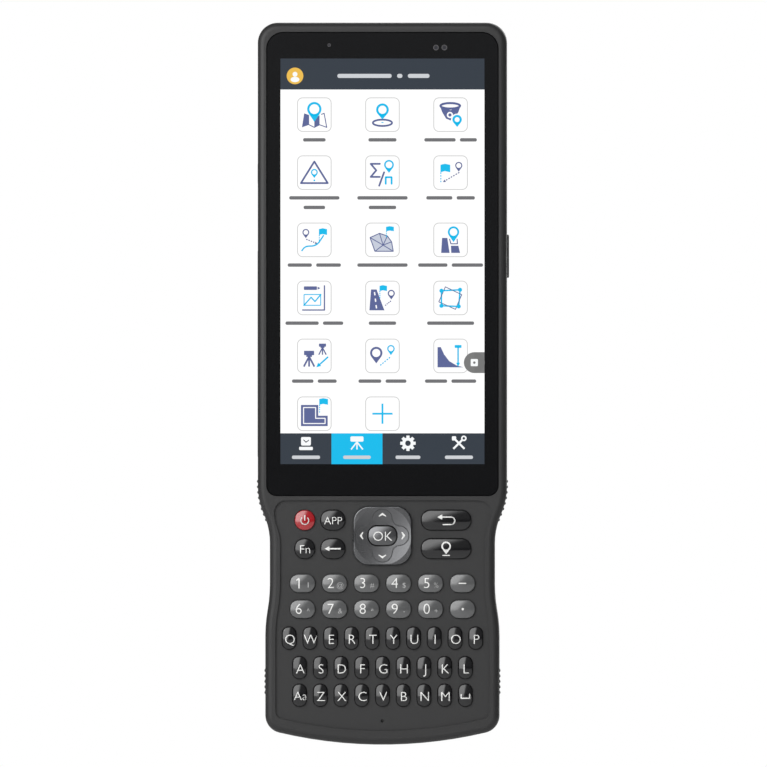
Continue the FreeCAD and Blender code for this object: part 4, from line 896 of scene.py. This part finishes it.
# Strokes in the second row under the two signs with the longest names.
SECOND_ROW = {sign_triangle: (6.6,), sign_mean: (8.4,)}
COLUMN = 20.87
TILE, TILE_ROUND, TILE_LINE = 10.57, 1.7, 0.27
NAME_DROP, SECOND_ROW_DROP = 7.72, 10.65
NAME_STROKE, NAME_GAP = 1.05, 1.3
SIGN_PEN, SIGN_LEVEL = 1.35, 0.005
HEAD_BAR, TAB_BAR = 9.5, 9.45
TAB_STROKES = (8.6, 8.4, 7.6, 8.6)
USER_INSET = 4.45
EDGE_BUTTON_HEIGHT = -54.2


def draw_page(d, screen):
    """Bars, page and tabs of the shown picture."""
    half, top, bottom = screen.half_width / MM, screen.top / MM, screen.bottom / MM
    d.box(PAGE, (0.0, (top + bottom) / 2), 2 * half, top - bottom, 0.0)
    d.box(BAR, (0.0, top - HEAD_BAR / 2), 2 * half, HEAD_BAR, 0.0, 0.004)
    middle = top - HEAD_BAR * 0.56
    draw_user(d, USER_INSET - half, middle)
    d.lines(DIM, (0.3, middle), (16.6, 1.6, 6.6), 1.25, 1.7, 0.006)
    tab = 2 * half / len(TAB_STROKES)
    low = bottom + TAB_BAR / 2
    d.box(BAR, (0.0, low), 2 * half, TAB_BAR, 0.0, 0.004)
    d.box(ACCENT, (-half + tab * 1.5, low), tab, TAB_BAR, 0.0, 0.006)
    for index, stroke in enumerate(TAB_STROKES):
        x = -half + tab * (index + 0.5)
        d.lines(DIM, (x, bottom + 2.1), (stroke,), 1.05, 1.0, 0.008)
    draw_tabs(d, -half + tab / 2, tab, bottom + 6.4)
    draw_button(d, half, EDGE_BUTTON_HEIGHT)


def draw_user(d, x, y):
    """The round sign of the user: a head and shoulders."""
    d.disc(SUN, (x, y), 2.55, 0.006)
    d.disc(PALE, (x, y + 0.5), 0.75, 0.008, 20)
    d.disc(PALE, (x, y - 1.1), 1.35, 0.008, 24, 0.6)


def draw_button(d, edge, y):
    """The floating button, half a pill against the right edge of the page."""
    reach, radius = 3.1, 3.2
    d.box(BUTTON, (edge - reach / 2, y), reach, 2 * radius, 0.0, 0.012)
    d.disc(BUTTON, (edge - reach, y), radius, 0.012)
    d.box(PALE, (edge - reach, y), 2.2, 2.2, 0.3, 0.014)
    d.disc(BUTTON, (edge - reach, y), 0.4, 0.016, 12)


def draw_tabs(d, x, tab, y):
    """A book, an instrument on its legs, a gear and crossed tools."""
    level = 0.009
    d.box(PALE, (x, y + 0.6), 3.0, 2.6, 0.4, level)
    d.box(PALE, (x, y - 1.6), 4.2, 1.0, 0.3, level)
    d.path(BAR, ((x - 0.7, y + 1.0), (x, y + 0.3), (x + 0.8, y + 0.9)), 0.28, level + 0.002)
    x += tab
    d.box(PALE, (x, y + 1.3), 4.0, 1.6, 0.4, level)
    for foot in (-1.8, 0.0, 1.8):
        d.bar(PALE, (x, y + 0.4), (x + foot, y - 1.9), 0.4, level)
    x += tab
    d.ring(PALE, (x, y), 1.75, 0.85, level)
    for turn in range(8):
        along = Vector((math.cos(turn * math.pi / 4), math.sin(turn * math.pi / 4)))
        d.bar(PALE, Vector((x, y)) + along * 1.5, Vector((x, y)) + along * 2.35, 0.95, level)
    x += tab
    d.bar(PALE, (x - 1.7, y - 1.7), (x + 1.2, y + 1.2), 0.6, level)
    d.bar(PALE, (x + 1.7, y - 1.7), (x - 1.2, y + 1.2), 0.6, level)
    d.ring(PALE, (x + 1.5, y + 1.5), 0.85, 0.4, level)
    d.box(PALE, (x - 1.5, y + 1.5), 1.3, 1.3, 0.3, level)


def draw_signs(d):
    """The tiles with their signs, and strokes in place of their names."""
    for y, signs, names in SIGN_ROWS:
        for index, (sign, words) in enumerate(zip(signs, names)):
            x = COLUMN * (index - 1)
            d.outline(LINE, (x, y), TILE, TILE, TILE_ROUND, TILE_LINE, 0.004)
            part = Drawing(SIGN_PEN)
            sign(part)
            bmesh.ops.translate(part.mesh, vec=(x, y, SIGN_LEVEL), verts=part.mesh.verts)
            data = bpy.data.meshes.new("sign")
            part.mesh.to_mesh(data)
            part.mesh.free()
            d.mesh.from_mesh(data)
            bpy.data.meshes.remove(data)
            if words:
                d.lines(TEXT, (x, y - NAME_DROP), words, NAME_STROKE, NAME_GAP, 0.004)
            if sign in SECOND_ROW:
                d.lines(TEXT, (x, y - SECOND_ROW_DROP), SECOND_ROW[sign], NAME_STROKE, NAME_GAP, 0.004)


# ---- operators ----


class OBJECT_OT_collector_finishes(bpy.types.Operator):
    """Give every part of the collector its finish"""
    bl_idname = "object.collector_finishes"
    bl_label = "Finishes"

    def execute(self, context):
        finishes = part_finishes(context.scene.collector_finishes)
        for part in frame["record"]["subparts"]:
            for slot in NODES[part["node"]].material_slots:
                slot.material = finishes[part["material_slot"]]
        return {"FINISHED"}


class OBJECT_OT_collector_legends(bpy.types.Operator):
    """Print the legends on the keys and the arrows on the direction pad"""
    bl_idname = "object.collector_legends"
    bl_label = "Key legends"

    def execute(self, context):
        marks = context.scene.collector_marks
        inks = [finish_of("key_ink", "Moulded surface", marks.ink, 0, {"Roughness": 0.5}),
                finish_of("key_ink_faint", "Moulded surface", marks.faint, 0, {"Roughness": 0.5})]
        for part in frame["record"]["subparts"]:
            node = part["node"]
            if not node.startswith("key_"):
                continue
            drawing = Drawing()
            draw_legend(drawing, node[4:], marks)
            self.print_on(node, drawing, inks, part["material_slot"], marks)
        drawing = Drawing()
        pad_marks(drawing)
        self.print_on("direction_pad", drawing, inks, "pad_metal_look", marks)
        return {"FINISHED"}

    def print_on(self, node, drawing, inks, slot, marks):
        low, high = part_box(node)
        middle = (Vector(low) + Vector(high)) / 2
        mesh = drawing.facing()
        drape(mesh, surface_tree(node), middle.x, middle.z, marks.step, marks.lift)
        new_piece(f"legend_{node}", mesh, inks, body_of(NODES[node])[0], smooth=True)


RIB_SPANS = ((-14.6, -6.3), (-5.2, -3.3))
BEYOND_SIDES = 60.0
RIB_END_ROUND = 0.7


class OBJECT_OT_collector_grips(bpy.types.Operator):
    """Put the rows of grip ribs on the sides of the waist and near the foot"""
    bl_idname = "object.collector_grips"
    bl_label = "Grip ribs"

    def execute(self, context):
        grips = context.scene.collector_grips
        finish = bpy.data.materials["side_rubber"]
        sides = surface_tree("front_housing", "rear_housing")
        mesh = bmesh.new()
        rows = [grips.waist_top - grips.pitch * index for index in range(grips.waist_count)]
        rows += [grips.foot_top - grips.pitch * index for index in range(grips.foot_count)]
        for height in rows:
            for side in (-1.0, 1.0):
                for front, back in RIB_SPANS:
                    self.rib(mesh, sides, side, height, front * MM, back * MM, grips)
        new_piece("grip_ribs", mesh, [finish], "root", smooth=True)
        return {"FINISHED"}

    def rib(self, mesh, sides, side, height, front, back, grips):
        """One rounded rib along Y, sunk in the side wall but for its crown."""
        middle = (front + back) / 2
        start = Vector((side * BEYOND_SIDES * MM, middle, height))
        wall = sides.ray_cast(start, Vector((-side, 0.0, 0.0)))[0]
        radius = grips.width / 2
        made = bmesh.ops.create_cone(mesh, cap_ends=True, segments=16, radius1=radius, radius2=radius,
                                     depth=back - front)
        ends = [edge for vertex in made["verts"] for edge in vertex.link_edges
                if abs(edge.verts[0].co.z - edge.verts[1].co.z) < 1e-6]
        turn = Matrix.Rotation(math.pi / 2, 4, "X")
        shift = Matrix.Translation((wall.x - side * (radius - grips.stand), middle, height))
        rounded = bmesh.ops.bevel(mesh, geom=list(set(ends)), offset=radius * RIB_END_ROUND, segments=4,
                                  profile=0.5, affect="EDGES", material=-1)
        whole = {vertex for vertex in made["verts"] if vertex.is_valid} | set(rounded["verts"])
        bmesh.ops.transform(mesh, matrix=shift @ turn, verts=list(whole))


SENSORS = ((-16.34, 43.05, 0.5), (16.37, 42.31, 0.85), (18.97, 42.31, 0.85))
SENSOR_RING = 0.72
# The glass is opaque black, so what shows through a real one is laid just in front of it.
IN_FRONT_OF_GLASS = 0.01


class OBJECT_OT_collector_sensors(bpy.types.Operator):
    """Lay the sensor windows on the top of the glass"""
    bl_idname = "object.collector_sensors"
    bl_label = "Glass sensors"

    def execute(self, context):
        drawing = Drawing()
        for x, z, radius in SENSORS:
            drawing.disc(0, (x, z), radius)
            drawing.ring(1, (x, z), radius, radius * SENSOR_RING, 0.004)
        finishes = [finish_of("sensor_lens", "Polished surface", (0.018, 0.018, 0.022), 0,
                              {"Roughness": 0.08}),
                    finish_of("sensor_ring", "Polished surface", (0.035, 0.034, 0.036), 0,
                              {"Roughness": 0.25})]
        mesh = set_back(drawing.facing(), GLASS_LOW[1] - IN_FRONT_OF_GLASS * MM)
        new_piece("glass_sensors", mesh, finishes, "root")
        return {"FINISHED"}


TONE_NAMES = ["page", "bar", "accent", "slate", "line", "text", "pale", "sun", "button", "mist", "dim"]


class OBJECT_OT_collector_screen(bpy.types.Operator):
    """Light the display with a generic page of survey tools"""
    bl_idname = "object.collector_screen"
    bl_label = "Display picture"

    def execute(self, context):
        screen = context.scene.collector_screen
        colours = {PAGE: screen.page, BAR: screen.bar, ACCENT: screen.accent, SLATE: screen.slate,
                   LINE: (0.6, 0.6, 0.6), TEXT: (0.16, 0.16, 0.17), PALE: (0.93, 0.95, 0.96),
                   SUN: (0.83, 0.5, 0.08), BUTTON: (0.19, 0.19, 0.19), MIST: (0.56, 0.6, 0.7),
                   DIM: (0.6, 0.62, 0.65)}
        finishes = [lit_finish(f"lit_{TONE_NAMES[tone]}", colours[tone], screen.brightness)
                    for tone in sorted(colours)]
        drawing = Drawing()
        draw_page(drawing, screen)
        draw_signs(drawing)
        mesh = set_back(drawing.facing(), GLASS_LOW[1] - IN_FRONT_OF_GLASS * MM)
        new_piece("display_picture", mesh, finishes, "root")
        return {"FINISHED"}


def turned(mesh, profile, steps=48):
    """Spin a profile of (radius, depth) in millimetres about the Y axis."""
    verts = [mesh.verts.new((radius * MM, depth * MM, 0.0)) for radius, depth in profile]
    edges = [mesh.edges.new(pair) for pair in zip(verts, verts[1:])]
    bmesh.ops.spin(mesh, geom=verts + edges, cent=(0.0, 0.0, 0.0), axis=(0.0, 1.0, 0.0), dvec=(0.0, 0.0, 0.0),
                   angle=2 * math.pi, steps=steps, use_merge=True)
    bmesh.ops.remove_doubles(mesh, verts=mesh.verts, dist=1e-6)
    bmesh.ops.recalc_face_normals(mesh, faces=mesh.faces)


# Profiles of the turned pieces of the camera: radius and distance behind the flat back.
CAMERA_RING = ((3.0, -0.12), (3.0, 0.02), (3.2, 0.1), (3.8, 0.1), (4.0, 0.0), (4.0, -0.12))
CAMERA_LENS = ((0.0, 0.02), (0.7, 0.0), (1.4, -0.04), (1.9, -0.1), (1.9, -0.12), (0.0, -0.13))
CAMERA_IRIS = ((1.95, -0.12), (1.95, -0.05), (2.2, -0.03), (2.9, -0.03), (2.9, -0.12))
CAMERA_LAMP = ((0.0, 0.0), (0.5, -0.03), (0.6, 0.0), (1.0, -0.04), (1.1, 0.0), (1.5, -0.06), (1.5, -0.13),
               (0.0, -0.13))
WINDOW_CORNER, WINDOW_DEPTH, WINDOW_THICKNESS, WINDOW_EDGE = 5.6, 0.5, 0.38, 0.22


class OBJECT_OT_collector_camera(bpy.types.Operator):
    """Fit the rear camera's window, its lens and its lamp"""
    bl_idname = "object.collector_camera"
    bl_label = "Rear camera"

    def execute(self, context):
        place = context.scene.collector_camera
        black = finish_of("window_glass", "Polished surface", (0.004, 0.004, 0.005), 0, {"Roughness": 0.05})
        ring = finish_of("lens_ring", "Polished surface", (0.32, 0.32, 0.33), 0.1, {"Roughness": 0.25},
                         metallic=1.0)
        lens = finish_of("lens_coating", "Polished surface", (0.012, 0.016, 0.05), 0, {"Roughness": 0.02},
                         coat_weight=1.0)
        lamp = finish_of("lamp_lens", "Polished surface", (0.78, 0.66, 0.34), 0.3, {"Roughness": 0.2})
        self.window(place, black)
        lens_at = Matrix.Translation((place.lens_middle, 0.0, place.height))
        lamp_at = Matrix.Translation((place.flash_middle, 0.0, place.height))
        self.spun("camera_ring", CAMERA_RING, lens_at, ring)
        self.spun("camera_lens", CAMERA_LENS, lens_at, lens)
        self.spun("camera_iris", CAMERA_IRIS, lens_at, bpy.data.materials["side_rubber"])
        self.spun("camera_lamp", CAMERA_LAMP, lamp_at, lamp)
        return {"FINISHED"}

    def window(self, place, finish):
        drawing = Drawing()
        drawing.box(0, (0.0, 0.0), place.window_width / MM, place.window_height / MM, WINDOW_CORNER)
        mesh = drawing.facing()
        bmesh.ops.translate(mesh, vec=(place.window_middle, -WINDOW_DEPTH * MM, place.height),
                            verts=mesh.verts)
        grown = bmesh.ops.extrude_face_region(mesh, geom=mesh.faces[:])
        outer = [item for item in grown["geom"] if isinstance(item, bmesh.types.BMVert)]
        bmesh.ops.translate(mesh, vec=(0.0, WINDOW_THICKNESS * MM, 0.0), verts=outer)
        rim = [edge for edge in mesh.edges if all(vertex in outer for vertex in edge.verts)]
        bmesh.ops.bevel(mesh, geom=rim, offset=WINDOW_EDGE * MM, segments=3, profile=0.5, affect="EDGES",
                        material=-1)
        bmesh.ops.recalc_face_normals(mesh, faces=mesh.faces)
        new_piece("camera_window", mesh, [finish], "root")

    def spun(self, name, profile, place, finish):
        mesh = bmesh.new()
        turned(mesh, profile)
        bmesh.ops.transform(mesh, matrix=place, verts=mesh.verts)
        new_piece(name, mesh, [finish], "root", smooth=True)


CONTACT_CORNER = 0.4
LABEL_CORNER = 2.0
PRINT_THICKNESS = 0.02
SIGN_REACH, SIGN_LINE = 0.9, 0.35
BLANK_ROWS = ((0.30, 12.0, 6.0), (0.40, 8.0, 10.0, 5.0), (0.46, 14.0, 4.0), (0.52, 9.0, 7.0), (0.86, 16.0))


class OBJECT_OT_collector_battery(bpy.types.Operator):
    """Put the gold contacts on the battery pack and in its bay, and a blank label on the pack"""
    bl_idname = "object.collector_battery"
    bl_label = "Battery contacts and label"

    def execute(self, context):
        place = context.scene.collector_battery
        low, high = (Vector(corner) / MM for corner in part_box("battery_pack"))
        middle = (low + high) / 2
        gold = finish_of("contact_gold", "Polished surface", (0.72, 0.46, 0.14), 0.1, {"Roughness": 0.22},
                         metallic=1.0)
        paper = finish_of("battery_label", "Moulded surface", (0.42, 0.43, 0.44), 0.1, {"Roughness": 0.45})
        print_ink = finish_of("battery_label_ink", "Moulded surface", (0.05, 0.05, 0.055), 0,
                              {"Roughness": 0.5})
        body = body_of(NODES["battery_pack"])[0]
        row = high.z - place.down / MM

        on_pack = (low.y - PRINT_THICKNESS) * MM
        contacts = set_back(self.contacts(place, middle.x, row).facing(), on_pack)
        new_piece("battery_contacts", contacts, [gold], body)

        seats = self.contacts(place, -middle.x, row).facing()
        opening = Vector((middle.x, 0.0, row)) * MM
        floor = surface_tree("rear_housing").ray_cast(opening, Vector((0.0, -1.0, 0.0)))[0]
        bmesh.ops.transform(seats, matrix=Matrix.Rotation(math.pi, 4, "Z"), verts=seats.verts)
        seats = set_back(seats, floor.y + PRINT_THICKNESS * MM)
        new_piece("bay_contacts", seats, [gold], "root")

        label = set_back(self.label(place, low, high, middle, row).facing(), on_pack)
        new_piece("battery_label", label, [paper, print_ink], body)
        return {"FINISHED"}

    def contacts(self, place, middle, row):
        drawing = Drawing()
        for index in range(place.contacts):
            across = (index - (place.contacts - 1) / 2) * place.pitch / MM
            drawing.box(0, (middle + across, row), place.contact_width / MM, place.contact_height / MM,
                        CONTACT_CORNER)
        return drawing

    def label(self, place, low, high, middle, row):
        """A pale label with strokes in place of words, and the signs of the poles beside the contacts."""
        drawing = Drawing()
        top = high.z - place.label_top / MM
        foot = low.z + place.label_margin / MM
        width = high.x - low.x - 2 * place.label_margin / MM
        drawing.box(0, (middle.x, (top + foot) / 2), width, top - foot, LABEL_CORNER)
        for share, *strokes in BLANK_ROWS:
            drawing.lines(1, (middle.x, top + (foot - top) * share), strokes, 1.3, 1.6, PRINT_THICKNESS)
        for side, bars in ((1, ((1.0, 0.0), (0.0, 1.0))), (-1, ((1.0, 0.0),))):
            sign = Vector((middle.x + side * (place.contacts + 1) / 2 * place.pitch / MM, row))
            for bar in bars:
                reach = Vector(bar) * SIGN_REACH
                drawing.bar(0, sign - reach, sign + reach, SIGN_LINE)
        return drawing


# Edges of the lights, as pairs from dark to bright.
LEAST_AHEAD = 0.05
SOFTBOX_HORIZON = (-0.1, -0.2)
SOFTBOX_SLANT = 0.45
SOFTBOX_RIGHT = (-0.02, -0.24)
SOFTBOX_LEFT = (-1.3, -1.0)
SOFTBOX_FOOT = (-0.35, -0.2)
SOFTBOX_TOP = (1.2, 0.9)
REAR_SOFTBOX_AIM = (0.45, 0.75, 0.48)
REAR_SOFTBOX_EDGE = (0.86, 0.9)
ROOM_HORIZON = (-0.03, 0.05)
ROOM_BELOW, ROOM_ABOVE = 0.25, 1.4
ROOM_SIDES = (0.35, 0.95)
ROOM_SIDE_SHARES = (1.15, 0.35)
FLOOR_HALF = 1.5
FAR_CLIP = 50.0


class OBJECT_OT_collector_stage(bpy.types.Operator):
    """Set the floor, the studio's light and the camera"""
    bl_idname = "object.collector_stage"
    bl_label = "Stage"

    def execute(self, context):
        studio = context.scene.collector_studio
        self.floor(studio)
        self.light(context.scene, studio)
        self.lamp(context.scene, studio)
        context.scene.view_settings.view_transform = "Standard"
        self.camera(context.scene, studio)
        return {"FINISHED"}

    def floor(self, studio):
        mesh = bmesh.new()
        bmesh.ops.create_grid(mesh, x_segments=1, y_segments=1, size=FLOOR_HALF)
        bmesh.ops.translate(mesh, vec=(0.0, 0.0, CAD_BOX[0][2] - studio.floor_drop), verts=mesh.verts)
        data = bpy.data.meshes.new("floor")
        mesh.to_mesh(data)
        mesh.free()
        data.materials.append(finish_of("pale_floor", "Moulded surface", (0.86, 0.86, 0.86), 0,
                                        {"Roughness": 0.7, "Tone change": 0.01, "Grain scale": 30.0}))
        floor = bpy.data.objects.new("floor", data)
        bpy.context.scene.collection.objects.link(floor)

    def light(self, scene, studio):
        """Light from all round: a softbox at the upper left in front, one behind, and a pale room."""
        world = bpy.data.worlds.new("studio")
        world.use_nodes = True
        tree = world.node_tree
        tree.nodes.clear()
        way = add(tree, "ShaderNodeTexCoord").outputs["Generated"]
        front = sum_of(tree, "MULTIPLY", self.front_box(tree, way), studio.softbox)
        rear = sum_of(tree, "MULTIPLY", self.rear_box(tree, way), studio.rear_softbox)
        boxes = sum_of(tree, "ADD", front, rear)
        total = sum_of(tree, "ADD", boxes, self.room(tree, way, studio.ambient))
        seen = add(tree, "ShaderNodeLightPath").outputs["Is Camera Ray"]
        unseen = sum_of(tree, "MULTIPLY", total, sum_of(tree, "SUBTRACT", 1.0, seen))
        shader = add(tree, "ShaderNodeBackground", {"Color": (1.0, 1.0, 1.0, 1.0),
                                                    "Strength": sum_of(tree, "ADD", unseen, seen)})
        output = tree.nodes.new("ShaderNodeOutputWorld")
        tree.links.new(shader.outputs[0], output.inputs["Surface"])
        scene.world = world

    def front_box(self, tree, way):
        """Share of light in front: a slanted pane, found on a plane one unit ahead of the housing."""
        axes = add(tree, "ShaderNodeSeparateXYZ", {0: way}).outputs
        ahead = sum_of(tree, "MAXIMUM", sum_of(tree, "MULTIPLY", axes["Y"], -1.0), LEAST_AHEAD)
        across = sum_of(tree, "DIVIDE", axes["X"], ahead)
        up = sum_of(tree, "DIVIDE", axes["Z"], ahead)
        slanted = sum_of(tree, "SUBTRACT", across, sum_of(tree, "MULTIPLY", up, SOFTBOX_SLANT))
        share = ramp_of(tree, axes["Y"], *SOFTBOX_HORIZON)
        for value, (dark, bright) in ((slanted, SOFTBOX_RIGHT), (across, SOFTBOX_LEFT), (up, SOFTBOX_FOOT),
                                      (up, SOFTBOX_TOP)):
            share = sum_of(tree, "MULTIPLY", share, ramp_of(tree, value, dark, bright))
        return share

    def rear_box(self, tree, way):
        """Share of light behind: a round patch about one direction."""
        aim = Vector(REAR_SOFTBOX_AIM).normalized()
        nearness = add(tree, "ShaderNodeVectorMath", {0: way, 1: aim}, operation="DOT_PRODUCT")
        return ramp_of(tree, nearness.outputs["Value"], *REAR_SOFTBOX_EDGE)

    def room(self, tree, way, ambient):
        """The rest of the studio: darker below the horizon and at the far sides."""
        axes = add(tree, "ShaderNodeSeparateXYZ", {0: way}).outputs
        height = ramp_of(tree, axes["Z"], *ROOM_HORIZON, ambient * ROOM_BELOW, ambient * ROOM_ABOVE)
        sideways = add(tree, "ShaderNodeMath", {0: axes["X"]}, operation="ABSOLUTE").outputs[0]
        return sum_of(tree, "MULTIPLY", height, ramp_of(tree, sideways, *ROOM_SIDES, *ROOM_SIDE_SHARES))

    def lamp(self, scene, studio):
        """A small lamp near the left of the housing, so that the light falls off towards the right."""
        data = bpy.data.lights.new("near_lamp", "AREA")
        data.size = studio.lamp_size
        data.energy = studio.lamp_power
        lamp = bpy.data.objects.new("near_lamp", data)
        lamp.location = (-studio.lamp_across, -studio.lamp_ahead, studio.lamp_height)
        aim = Vector((studio.aim_x, 0.0, studio.aim_z)) - lamp.location
        lamp.rotation_euler = aim.to_track_quat("-Z", "Y").to_euler()
        lamp.visible_camera = False
        scene.collection.objects.link(lamp)

    def camera(self, scene, studio):
        data = bpy.data.cameras.new("view")
        data.sensor_width = 36.0
        data.lens = data.sensor_width * studio.distance / studio.picture_height
        data.clip_end = FAR_CLIP
        camera = bpy.data.objects.new("view", data)
        camera.location = (studio.aim_x, CAD_BOX[0][1] - studio.distance, studio.aim_z)
        camera.rotation_euler = (math.pi / 2, 0.0, 0.0)
        scene.collection.objects.link(camera)
        scene.camera = camera


class VIEW3D_PT_collector(bpy.types.Panel):
    """The collector's steps, in the order they run"""
    bl_idname = "VIEW3D_PT_collector"
    bl_label = "Data collector"
    bl_space_type = "VIEW_3D"
    bl_region_type = "UI"
    bl_category = "Data collector"

    def draw(self, context):
        for step in STEPS:
            self.layout.operator(step.bl_idname)
        for name in SETTINGS:
            settings = getattr(context.scene, name)
            column = self.layout.column(heading=name)
            for key in settings.bl_rna.properties.keys():
                if key not in ("rna_type", "name"):
                    column.prop(settings, key)


STEPS = (OBJECT_OT_collector_finishes, OBJECT_OT_collector_legends, OBJECT_OT_collector_grips,
         OBJECT_OT_collector_sensors, OBJECT_OT_collector_screen, OBJECT_OT_collector_camera,
         OBJECT_OT_collector_battery, OBJECT_OT_collector_stage)


def register():
    for name, settings in SETTINGS.items():
        bpy.utils.register_class(settings)
        setattr(bpy.types.Scene, name, bpy.props.PointerProperty(type=settings))
    for item in (*STEPS, VIEW3D_PT_collector):
        bpy.utils.register_class(item)


def unregister():
    for item in (VIEW3D_PT_collector, *reversed(STEPS)):
        bpy.utils.unregister_class(item)
    for name, settings in reversed(SETTINGS.items()):
        delattr(bpy.types.Scene, name)
        bpy.utils.unregister_class(settings)


def main():
    register()
    for step in STEPS:
        group, name = step.bl_idname.split(".")
        getattr(getattr(bpy.ops, group), name)()


if __name__ == "__main__":
    main()
